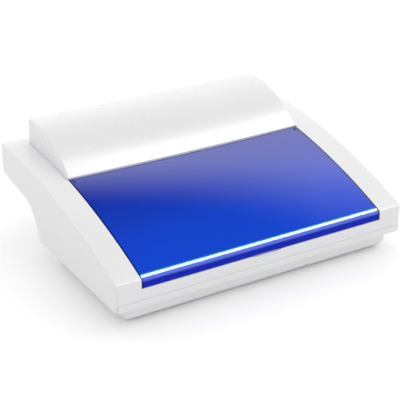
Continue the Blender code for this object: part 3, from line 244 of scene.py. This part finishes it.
def in_frame(place_x, point):
    """Point of a side view at a place along X, in the frame."""
    return Vector((place_x, front_y + point[0], point[1]))


def only(piece):
    """Makes one object the selected and active one."""
    bpy.ops.object.select_all(action="DESELECT")
    piece.select_set(True)
    bpy.context.view_layer.objects.active = piece


def pick(piece, kind, test):
    """Selects the vertices, edges or faces in edit mode that pass a test."""
    bpy.ops.mesh.select_mode(type=kind)
    bpy.ops.mesh.select_all(action="DESELECT")
    mesh = bmesh.from_edit_mesh(piece.data)
    for element in {"VERT": mesh.verts, "EDGE": mesh.edges, "FACE": mesh.faces}[kind]:
        if test(element):
            element.select_set(True)
    mesh.select_flush_mode()
    bmesh.update_edit_mesh(piece.data)


def is_sharp(edge):
    """True for an edge where two faces meet at more than a smooth angle."""
    return len(edge.link_faces) == 2 and edge.calc_face_angle(0) > smooth_angle


def close_up():
    """Merges what lies together and turns every face outwards, in edit mode."""
    bpy.ops.mesh.select_all(action="SELECT")
    bpy.ops.mesh.remove_doubles(threshold=weld_gap)
    bpy.ops.mesh.normals_make_consistent(inside=False)


def trace_loop(piece, place_x, outline):
    """Draws one closed outline in edit mode: a tiny plane drawn together, then extruded point by point."""
    bpy.ops.mesh.select_mode(type="VERT")
    bpy.ops.mesh.select_all(action="DESELECT")
    bpy.ops.mesh.primitive_plane_add(size=seat_gap, location=in_frame(place_x, outline[0]))
    bpy.ops.mesh.merge(type="CENTER")
    for here, there in zip(outline, outline[1:]):
        run = in_frame(place_x, there) - in_frame(place_x, here)
        bpy.ops.mesh.extrude_vertices_move(TRANSFORM_OT_translate={"value": run})
    pick(piece, "VERT", lambda vertex: len(vertex.link_edges) == 1)
    bpy.ops.mesh.edge_face_add()


def loft(name, places, outline_at):
    """Closed solid through an outline at each place along X, traced and bridged in edit mode."""
    bpy.ops.object.select_all(action="DESELECT")
    bpy.ops.mesh.primitive_plane_add(size=seat_gap, location=(0, 0, 0))
    piece = bpy.context.object
    piece.name = name
    bpy.ops.object.mode_set(mode="EDIT")
    bpy.ops.mesh.select_all(action="SELECT")
    bpy.ops.mesh.delete(type="VERT")
    for place_x in places:
        trace_loop(piece, place_x, outline_at(place_x))
    for before, after in zip(places, places[1:]):
        pick(piece, "EDGE", lambda edge: lies_on(edge, before) or lies_on(edge, after))
        bpy.ops.mesh.bridge_edge_loops()
    for end in (places[0], places[-1]):
        pick(piece, "EDGE", lambda edge: lies_on(edge, end))
        bpy.ops.mesh.edge_face_add()
    close_up()
    bpy.ops.object.mode_set(mode="OBJECT")
    return piece


def lies_on(edge, place_x):
    """True for an edge of the outline at a place along X."""
    return all(abs(vertex.co.x - place_x) < same_place_gap for vertex in edge.verts)


def block(name, low, high):
    """Box between two opposite corners of the frame."""
    low, high = Vector(low), Vector(high)
    bpy.ops.object.select_all(action="DESELECT")
    bpy.ops.mesh.primitive_cube_add(size=1, location=(low + high) / 2, scale=high - low)
    piece = bpy.context.object
    piece.name = name
    bpy.ops.object.transform_apply(location=True, rotation=True, scale=True)
    return piece


def bar(name, start, end, radius, sides=round_sides):
    """Round bar between two points of the frame."""
    start, end = Vector(start), Vector(end)
    turn = Vector((0, 0, 1)).rotation_difference(end - start).to_euler()
    bpy.ops.object.select_all(action="DESELECT")
    bpy.ops.mesh.primitive_cylinder_add(vertices=sides, radius=radius, depth=(end - start).length,
                                        location=(start + end) / 2, rotation=turn)
    piece = bpy.context.object
    piece.name = name
    bpy.ops.object.transform_apply(location=True, rotation=True, scale=True)
    return piece


def shape(piece, operation, *tools):
    """Cuts or joins other pieces, which are used up."""
    only(piece)
    for tool in tools:
        bpy.ops.object.modifier_add(type="BOOLEAN")
        modifier = piece.modifiers[-1]
        modifier.operation = operation
        modifier.object = tool
        bpy.ops.object.modifier_apply(modifier=modifier.name)
    for tool in tools:
        only(tool)
        bpy.ops.object.delete()
    only(piece)
    return piece


def round_edges(piece, width, segments, test=is_sharp):
    """Bevels the edges that pass a test."""
    only(piece)
    bpy.ops.object.mode_set(mode="EDIT")
    pick(piece, "EDGE", test)
    bpy.ops.mesh.bevel(offset=width, segments=segments, profile=round_profile, affect="EDGES",
                       clamp_overlap=True)
    close_up()
    bpy.ops.object.mode_set(mode="OBJECT")


def finish_piece(piece, body, slot, material, *nodes):
    """Shades a new piece, gives it its material and body, and hides the nodes it stands for."""
    only(piece)
    bpy.ops.object.shade_smooth_by_angle(angle=smooth_angle)
    bpy.ops.object.modifier_add(type="WEIGHTED_NORMAL")
    piece.modifiers[-1].keep_sharp = True
    bpy.ops.object.modifier_apply(modifier=piece.modifiers[-1].name)
    piece.data.materials.clear()
    piece.data.materials.append(material)
    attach(piece, body)
    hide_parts(*nodes)
    return piece


def carry_over(node, material, edge=fine_edge):
    """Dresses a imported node: welded, softened along its edges and given its material."""
    piece = frame["nodes"][node]
    only(piece)
    bpy.ops.object.modifier_add(type="WELD")
    piece.modifiers[-1].merge_threshold = weld_gap
    if edge:
        bpy.ops.object.modifier_add(type="BEVEL")
        bevel = piece.modifiers[-1]
        bevel.width = edge
        bevel.segments = fine_edge_steps
        bevel.limit_method = "ANGLE"
        bevel.angle_limit = smooth_angle
    piece.data.shade_smooth()
    bpy.ops.object.modifier_add(type="WEIGHTED_NORMAL")
    piece.modifiers[-1].keep_sharp = True
    piece.data.materials.clear()
    piece.data.materials.append(material)


def new_group(name, inputs, outputs):
    """Empty shader node group with named sockets."""
    group = bpy.data.node_groups.new(name, "ShaderNodeTree")
    for direction, sockets in (("INPUT", inputs), ("OUTPUT", outputs)):
        for socket_name, kind, value in sockets:
            socket = group.interface.new_socket(socket_name, in_out=direction,
                                                socket_type="NodeSocket" + kind)
            if value is not None:
                socket.default_value = value
    return group, group.nodes.new("NodeGroupInput"), group.nodes.new("NodeGroupOutput")


def add_node(tree, kind, settings=None, **inputs):
    """Node with its settings, and its inputs set to values or linked to sockets."""
    node = tree.nodes.new(kind)
    for name, value in (settings or {}).items():
        setattr(node, name, value)
    for name, value in inputs.items():
        socket = node.inputs[name.replace("_", " ")]
        if isinstance(value, bpy.types.NodeSocket):
            tree.links.new(value, socket)
        else:
            socket.default_value = value
    return node


def build_mottle_group():
    """Slow change of tone over a surface, as moulded and painted faces have."""
    group, given, result = new_group(
        "slow_mottle",
        (("Color", "Color", (1, 1, 1, 1)), ("Patches per metre", "Float", 12), ("Strength", "Float", 0.03)),
        (("Color", "Color", None), ("Mask", "Float", None)))
    place = add_node(group, "ShaderNodeTexCoord").outputs["Object"]
    noise = add_node(group, "ShaderNodeTexNoise", None, Vector=place,
                     Scale=given.outputs["Patches per metre"], Detail=mottle_detail,
                     Roughness=mottle_roughness)
    low = add_node(group, "ShaderNodeMath", {"operation": "SUBTRACT"})
    low.inputs[0].default_value = 1
    group.links.new(given.outputs["Strength"], low.inputs[1])
    tone = add_node(group, "ShaderNodeMapRange", None, Value=noise.outputs["Fac"], From_Min=mottle_low,
                    From_Max=mottle_high, To_Min=low.outputs[0], To_Max=1)
    darker = add_node(group, "ShaderNodeVectorMath", {"operation": "SCALE"})
    group.links.new(given.outputs["Color"], darker.inputs[0])
    group.links.new(tone.outputs["Result"], darker.inputs["Scale"])
    group.links.new(darker.outputs[0], result.inputs["Color"])
    group.links.new(noise.outputs["Fac"], result.inputs["Mask"])
    return group


def build_grain_group():
    """Fine grain of a surface, as a height and as a roughness."""
    group, given, result = new_group(
        "fine_grain",
        (("Grains per metre", "Float", 900), ("Stretch", "Vector", (1, 1, 1)),
         ("Roughness", "Float", 0.35), ("Spread", "Float", 0.08)),
        (("Roughness", "Float", None), ("Height", "Float", None)))
    place = add_node(group, "ShaderNodeTexCoord").outputs["Object"]
    stretched = add_node(group, "ShaderNodeVectorMath", {"operation": "MULTIPLY"})
    group.links.new(place, stretched.inputs[0])
    group.links.new(given.outputs["Stretch"], stretched.inputs[1])
    noise = add_node(group, "ShaderNodeTexNoise", None, Vector=stretched.outputs[0],
                     Scale=given.outputs["Grains per metre"], Detail=grain_detail)
    centred = add_node(group, "ShaderNodeMath", {"operation": "SUBTRACT"})
    group.links.new(noise.outputs["Fac"], centred.inputs[0])
    centred.inputs[1].default_value = grain_middle
    spread = add_node(group, "ShaderNodeMath", {"operation": "MULTIPLY_ADD"})
    group.links.new(centred.outputs[0], spread.inputs[0])
    group.links.new(given.outputs["Spread"], spread.inputs[1])
    group.links.new(given.outputs["Roughness"], spread.inputs[2])
    group.links.new(spread.outputs[0], result.inputs["Roughness"])
    group.links.new(noise.outputs["Fac"], result.inputs["Height"])
    return group


mottle_group = build_mottle_group()
grain_group = build_grain_group()


def surface(name, color, roughness, metallic=0, mottle=0.03, patches=12, grains=900, spread=0.08,
            stretch=(1, 1, 1), depth=0.00001):
    """Material with slow mottle in its colour and fine grain in its gloss and relief."""
    made = bpy.data.materials.new(name)
    made.use_nodes = True
    tree = made.node_tree
    shader = tree.nodes["Principled BSDF"]
    tone = add_node(tree, "ShaderNodeGroup", {"node_tree": mottle_group}, Color=(*color[:3], 1),
                    Patches_per_metre=patches, Strength=mottle)
    grain = add_node(tree, "ShaderNodeGroup", {"node_tree": grain_group}, Grains_per_metre=grains,
                     Stretch=stretch, Roughness=roughness, Spread=spread)
    bump = add_node(tree, "ShaderNodeBump", None, Height=grain.outputs["Height"], Distance=depth,
                    Strength=grain_strength)
    tree.links.new(tone.outputs["Color"], shader.inputs["Base Color"])
    tree.links.new(grain.outputs["Roughness"], shader.inputs["Roughness"])
    tree.links.new(bump.outputs["Normal"], shader.inputs["Normal"])
    shader.inputs["Metallic"].default_value = metallic
    return made


def fade(tree, value, start, end):
    """Share from 0 where a value is at its start to 1 where it is at its end."""
    spread = add_node(tree, "ShaderNodeMapRange", {"interpolation_type": "SMOOTHSTEP"}, Value=value,
                      From_Min=start, From_Max=end)
    return spread.outputs[0]


def mix(tree, kind, share, before, after):
    """Colour or value between two others, each plain or from a socket, by a share."""
    first, second, result = mix_sockets[kind]
    node = add_node(tree, "ShaderNodeMix", {"data_type": kind})
    tree.links.new(share, node.inputs[0])
    for number, value in ((first, before), (second, after)):
        if isinstance(value, bpy.types.NodeSocket):
            tree.links.new(value, node.inputs[number])
        else:
            node.inputs[number].default_value = value
    return node.outputs[result]


def let_through(made, tint, share):
    """Mixes a plain tinted see-through into a material."""
    tree = made.node_tree
    clear = add_node(tree, "ShaderNodeBsdfTransparent", None, Color=tint)
    mixed = add_node(tree, "ShaderNodeMixShader", None, Fac=share)
    tree.links.new(tree.nodes["Principled BSDF"].outputs[0], mixed.inputs[1])
    tree.links.new(clear.outputs[0], mixed.inputs[2])
    tree.links.new(mixed.outputs[0], tree.nodes["Material Output"].inputs["Surface"])


def tinted_lid():
    """Glossy blue acrylic: bright over the chamber, with painted shade towards its rear, a pale painted
    highlight on the roll, and painted shade on the lip and along the side edges.
    """
    made = surface("tinted_acrylic", acrylic_blue, 0.03, mottle=0.05, patches=6, grains=500, spread=0.02,
                   depth=0.000001)
    tree = made.node_tree
    shader = tree.nodes["Principled BSDF"]
    shader.inputs["IOR"].default_value = acrylic_index
    shader.inputs["Specular IOR Level"].default_value = acrylic_gloss
    shader.inputs["Coat Roughness"].default_value = coat_roughness
    shader.inputs["Coat IOR"].default_value = coat_index
    place = add_node(tree, "ShaderNodeSeparateXYZ", None,
                     Vector=add_node(tree, "ShaderNodeTexCoord").outputs["Object"])
    height = place.outputs["Z"]
    roll_height = rail_height(lid_setback + lid_roll, lid_roll)

    tone = shader.inputs["Base Color"].links[0].from_socket
    # painted shade: the blue darkens from the roll towards the lid's rear edge
    rear_shade_share = fade(tree, place.outputs["Y"], front_y + lid_roll, front_y + lid_rear_depth)
    tone = mix(tree, "RGBA", rear_shade_share, tone, acrylic_rear_painted_shade)
    # painted highlight on the top of the roll, back to the lid's blue, then painted shade on the lip
    for start, end, color in roll_highlight_and_shade_zones:
        share = fade(tree, height, roll_height + lid_roll * start, roll_height + lid_roll * end)
        tone = mix(tree, "RGBA", share, tone, color)
    side = add_node(tree, "ShaderNodeMath", {"operation": "ABSOLUTE"})
    tree.links.new(place.outputs["X"], side.inputs[0])
    half = lid_width / 2
    # painted shade along both side edges, which also takes the coat off there
    edge_shade_share = fade(tree, side.outputs[0], half - edge_shade_start, half - edge_shade_full)
    tone = mix(tree, "RGBA", edge_shade_share, tone, acrylic_edge_painted_shade)
    tree.links.new(tone, shader.inputs["Base Color"])

    glossy = fade(tree, height, roll_height + lid_roll * coat_start, roll_height + lid_roll * coat_full)
    shine = add_node(tree, "ShaderNodeMath", {"operation": "SUBTRACT", "use_clamp": True})
    tree.links.new(glossy, shine.inputs[0])
    tree.links.new(edge_shade_share, shine.inputs[1])
    tree.links.new(shine.outputs[0], shader.inputs["Coat Weight"])
    let_through(made, acrylic_tint, acrylic_see_through)
    return made


def lamp_glass():
    """Clear quartz tube of the lamp."""
    made = surface("lamp_glass", quartz_color, 0.05, mottle=0.02, spread=0.02, depth=0.000001)
    let_through(made, quartz_tint, quartz_see_through)
    return made


brushed = (1, 60, 60)
stacked = (1, 1, 60)
white_plastic = surface("white_moulding", (0.84, 0.84, 0.85), 0.34, mottle=0.015, depth=0.000002)
hood_plastic = surface("white_hood", (0.85, 0.85, 0.86), 0.28, mottle=0.015, depth=0.000002)
blue_acrylic = tinted_lid()
satin_steel = surface("satin_steel", (0.62, 0.62, 0.64), 0.32, 1, grains=40, stretch=brushed, spread=0.16)
choke_steel = surface("laminated_steel", (0.32, 0.33, 0.35), 0.45, 1, grains=30, stretch=stacked,
                      spread=0.2, mottle=0.1, depth=0.00004)
bright_aluminium = surface("bright_sheet", (0.88, 0.89, 0.90), 0.16, 1, grains=40, stretch=brushed,
                           spread=0.08)
glass = lamp_glass()
black_plastic = surface("black_moulding", (0.022, 0.022, 0.024), 0.42, mottle=0.1, depth=0.00002)
holder_plastic = surface("cream_moulding", (0.78, 0.76, 0.70), 0.45, mottle=0.03)
grey_rubber = surface("grey_rubber", (0.10, 0.10, 0.105), 0.75, mottle=0.12, grains=2500, depth=0.00004)
plated_brass = surface("plated_brass", (0.76, 0.70, 0.55), 0.28, 1, spread=0.12)
wire_red = surface("red_sleeve", (0.42, 0.02, 0.02), 0.42, mottle=0.06)
wire_blue = surface("blue_sleeve", (0.02, 0.06, 0.36), 0.42, mottle=0.06)
wire_grey = surface("grey_sleeve", (0.30, 0.30, 0.31), 0.45, mottle=0.06)


def lid_path(inset):
    """Lid from its lip over the front roll to its rear edge, or a path inset inside it."""
    face = lid_setback + inset
    radius = lid_roll - inset
    centre_depth = lid_setback + lid_roll
    slope = math.asin((rail_level_depth - centre_depth) / (rail_radius - lid_roll))
    centre_height = rail_height(centre_depth, lid_roll)
    roll = []
    for step in range(roll_steps + 1):
        angle = math.pi - (math.pi / 2 - slope) * step / roll_steps
        roll.append((centre_depth + radius * math.cos(angle), centre_height + radius * math.sin(angle)))
    return [(face, lid_lip_height)] + roll + rail_arc(roll[-1][0], lid_rear_depth, inset)[1:]


def lid_outline(place_x):
    """Side view of the lid at a place along X, with its bowed rear edge."""
    back = lid_bow * (1 - (place_x / (lid_width / 2)) ** 2)
    outline = []
    for path in (lid_path(0), lid_path(lid_wall)[::-1]):
        for depth, height in path:
            if depth == lid_rear_depth:
                height -= back * rail_slope(depth)
                depth -= back
            outline.append((depth, height))
    return outline


def make_lid():
    """Curved translucent lid with its rolled lip, slits with dark inserts, and hinge barrels."""
    half = lid_width / 2
    places = [half * step / width_steps for step in range(1, width_steps + 1)]
    cover = loft("lid_cover", across(places), lid_outline)
    round_edges(cover, lid_edge_round, lid_edge_steps)
    axis_height = rail_height(hinge_depth) - hinge_drop
    slit_front = front_y + lid_rear_depth - lid_slit_length
    for side, side_name in ((-1, "left"), (1, "right")):
        slit_outer = half - lid_slit_inset
        low_x, high_x = sorted((side * slit_outer, side * (slit_outer - lid_slit_width)))
        slit = block("slit", (low_x, slit_front, axis_height),
                     (high_x, front_y + lid_rear_depth + overrun, cad_high.z))
        shape(cover, "DIFFERENCE", slit)
        bush = block("hinge_bush_" + side_name, (low_x, slit_front, axis_height),
                     (high_x, front_y + lid_rear_depth - bush_sink, axis_height + hinge_drop - bush_sink))
        finish_piece(bush, "lid", "black_plastic", black_plastic)
        end = side * (half + barrel_reach)
        start = end - side * barrel_length
        barrel = bar("barrel", in_frame(start, (hinge_depth, axis_height)),
                     in_frame(end, (hinge_depth, axis_height)), barrel_radius)
        shape(cover, "UNION", barrel)
        bore = bar("bore", in_frame(start - side * overrun, (hinge_depth, axis_height)),
                   in_frame(end + side * overrun, (hinge_depth, axis_height)),
                   hinge_pin_radius + seat_gap)
        shape(cover, "DIFFERENCE", bore)
    finish_piece(cover, "lid", "blue_acrylic", blue_acrylic, "lid")


def hood_arc_height(depth, inset=0):
    """Height of the hood's curved top, which is level behind its crest."""
    reach = max(hood_crest_depth - depth, 0)
    return hood_high.z - hood_radius + math.sqrt((hood_radius - inset) ** 2 - reach ** 2)


def hood_bowed(depth, place_x):
    """Depth moved forward by the bow of the hood's front edge, which fades towards the crest."""
    share = 1 - (place_x / (hood_width / 2)) ** 2
    fading = min(max((hood_bow_end_depth - depth) / (hood_bow_end_depth - hood_front_depth), 0), 1)
    return depth - hood_bow * share * fading


def hood_outline(place_x):
    """Side view of the hood's outside at a place along X, drawn in where its side edges round."""
    over = min(max(abs(place_x) - (hood_width / 2 - hood_edge_round), 0), hood_edge_round)
    drawn_in = hood_edge_round - math.sqrt(hood_edge_round ** 2 - over ** 2)
    outline = []
    for step in range(hood_steps + 1):
        depth = hood_front_depth + (hood_crest_depth - hood_front_depth) * step / hood_steps
        growing = min((depth - hood_front_depth) / hood_round_fade_length, 1)
        outline.append((hood_bowed(depth, place_x), hood_arc_height(depth, drawn_in * growing)))
    corner_round = hood_edge_round - drawn_in * hood_corner_share
    corner_depth = hood_rear_depth - drawn_in - corner_round
    corner_height = hood_high.z - drawn_in - corner_round
    for step in range(round_steps + 1):
        angle = math.pi / 2 * step / round_steps
        outline.append((corner_depth + corner_round * math.sin(angle),
                        corner_height + corner_round * math.cos(angle)))
    outline += rail_arc(hood_rear_depth - drawn_in, hood_sink_depth, hood_sink, hood_steps)
    lift = -hood_front_dip if abs(place_x) < lid_width / 2 else hood_front_lift
    outline.append((hood_sink_depth, rail_height(hood_sink_depth) + lift))
    front = hood_bowed(hood_front_depth, place_x)
    outline.append((front, rail_height(front) + lift))
    return outline


def hood_hollow_outline(place_x):
    """Side view of the hood's hollow at a place along X."""
    front = hood_crest_depth - (hood_radius - hood_wall) * hood_hollow_share
    outline = []
    for step in range(hood_steps + 1):
        depth = front + (hood_crest_depth - front) * step / hood_steps
        outline.append((hood_bowed(depth, place_x), hood_arc_height(depth, hood_wall)))
    floor = rail_height(hood_front_depth, hood_sink) - overrun
    outline.append((hood_rear_depth - hood_wall, hood_high.z - hood_wall))
    outline.append((hood_rear_depth - hood_wall, floor))
    outline.append((hood_bowed(front, place_x), floor))
    return outline


def make_hood():
    """Raised white cover over the lamp and the electrics."""
    half = hood_width / 2
    flat_end = half - hood_edge_round
    places = [flat_end * step / width_steps for step in range(1, width_steps)]
    for step in range(round_steps + 1):
        places.append(flat_end + hood_edge_round * math.sin(math.pi / 2 * step / round_steps))
    hood = loft("hood_cover", across(places), hood_outline)
    inner = half - hood_wall
    places = [inner * step / width_steps for step in range(1, width_steps + 1)]
    shape(hood, "DIFFERENCE", loft("hollow", across(places), hood_hollow_outline))
    finish_piece(hood, "cabinet", "white_plastic", hood_plastic, "lamp_hood")


def dress_nodes():
    """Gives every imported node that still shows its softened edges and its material."""
    finishes = {
        "white_plastic": white_plastic, "blue_acrylic": blue_acrylic, "satin_steel": satin_steel,
        "choke_steel": choke_steel, "bright_aluminium": bright_aluminium, "lamp_glass": glass,
        "black_plastic": black_plastic, "holder_plastic": holder_plastic, "grey_rubber": grey_rubber,
        "plated_brass": plated_brass, "wire_red": wire_red, "wire_blue": wire_blue,
        "wire_grey": wire_grey,
    }
    for part in frame["record"]["subparts"]:
        node, slot = part["node"], part["material_slot"]
        if not frame["nodes"][node].hide_render:
            carry_over(node, finishes[slot], 0 if node.startswith("wire_") else fine_edge)


def make_floor():
    """Plain white floor that keeps the cabinet's soft shadow."""
    bpy.ops.object.select_all(action="DESELECT")
    bpy.ops.mesh.primitive_plane_add(size=floor_size, location=(0, 0, 0))
    floor = bpy.context.object
    floor.name = "floor"
    made = bpy.data.materials.new("studio_floor")
    made.use_nodes = True
    tree = made.node_tree
    shader = tree.nodes["Principled BSDF"]
    shader.inputs["Base Color"].default_value = floor_color
    shader.inputs["Roughness"].default_value = floor_roughness
    shader.inputs["Specular IOR Level"].default_value = floor_gloss
    shader.inputs["Emission Color"].default_value = (1, 1, 1, 1)
    rays = add_node(tree, "ShaderNodeLightPath")
    lift = add_node(tree, "ShaderNodeMath", {"operation": "MULTIPLY"})
    tree.links.new(rays.outputs["Is Camera Ray"], lift.inputs[0])
    lift.inputs[1].default_value = floor_lift
    tree.links.new(lift.outputs[0], shader.inputs["Emission Strength"])
    floor.data.materials.append(made)


def make_softbox():
    """Softbox that faces down and shows only in gloss."""
    light = bpy.data.lights.new("roll_softbox", "AREA")
    light.shape = "RECTANGLE"
    light.size, light.size_y = softbox_size
    light.energy = softbox_power
    softbox = bpy.data.objects.new("roll_softbox", light)
    bpy.context.collection.objects.link(softbox)
    softbox.location = softbox_place
    softbox.visible_diffuse = False


def make_world():
    """Pale studio, brighter behind; gloss shows its white walls under a dark ceiling, the camera white."""
    world = bpy.data.worlds.new("studio")
    bpy.context.scene.world = world
    world.use_nodes = True
    tree = world.node_tree
    way = add_node(tree, "ShaderNodeSeparateXYZ", None,
                   Vector=add_node(tree, "ShaderNodeTexCoord").outputs["Generated"])
    walls = add_node(tree, "ShaderNodeMapRange", None, Value=way.outputs["Y"], From_Min=-1, From_Max=1,
                     To_Min=wall_front, To_Max=wall_rear)
    sideways = add_node(tree, "ShaderNodeMath", {"operation": "MULTIPLY_ADD"})
    tree.links.new(way.outputs["X"], sideways.inputs[0])
    sideways.inputs[1].default_value = side_light
    tree.links.new(walls.outputs[0], sideways.inputs[2])
    rise = add_node(tree, "ShaderNodeMapRange", None, Value=way.outputs["X"], From_Min=rise_start,
                    From_Max=rise_full, To_Min=0, To_Max=ceiling_rise)
    height = add_node(tree, "ShaderNodeMath", {"operation": "SUBTRACT"})
    tree.links.new(way.outputs["Z"], height.inputs[0])
    tree.links.new(rise.outputs[0], height.inputs[1])
    ceiling = fade(tree, height.outputs[0], ceiling_start, ceiling_full)
    mirrored = mix(tree, "FLOAT", ceiling, panel_light, ceiling_light)
    rays = add_node(tree, "ShaderNodeLightPath")
    seen = mix(tree, "FLOAT", rays.outputs["Is Glossy Ray"], sideways.outputs[0], mirrored)
    seen = mix(tree, "FLOAT", rays.outputs["Is Camera Ray"], seen, 1)
    background = tree.nodes["Background"]
    background.inputs["Color"].default_value = (1, 1, 1, 1)
    tree.links.new(seen, background.inputs["Strength"])


def make_camera():
    """Camera in the photograph's place."""
    data = bpy.data.cameras.new("camera")
    data.lens = camera_lens
    camera = bpy.data.objects.new("camera", data)
    bpy.context.collection.objects.link(camera)
    camera.location = camera_place
    camera.rotation_euler = Vector(camera_direction).to_track_quat("-Z", "Y").to_euler()
    bpy.context.scene.camera = camera


make_lid()
make_hood()
dress_nodes()
make_floor()
make_world()
make_camera()
make_softbox()
bpy.context.scene.view_settings.view_transform = "Standard"
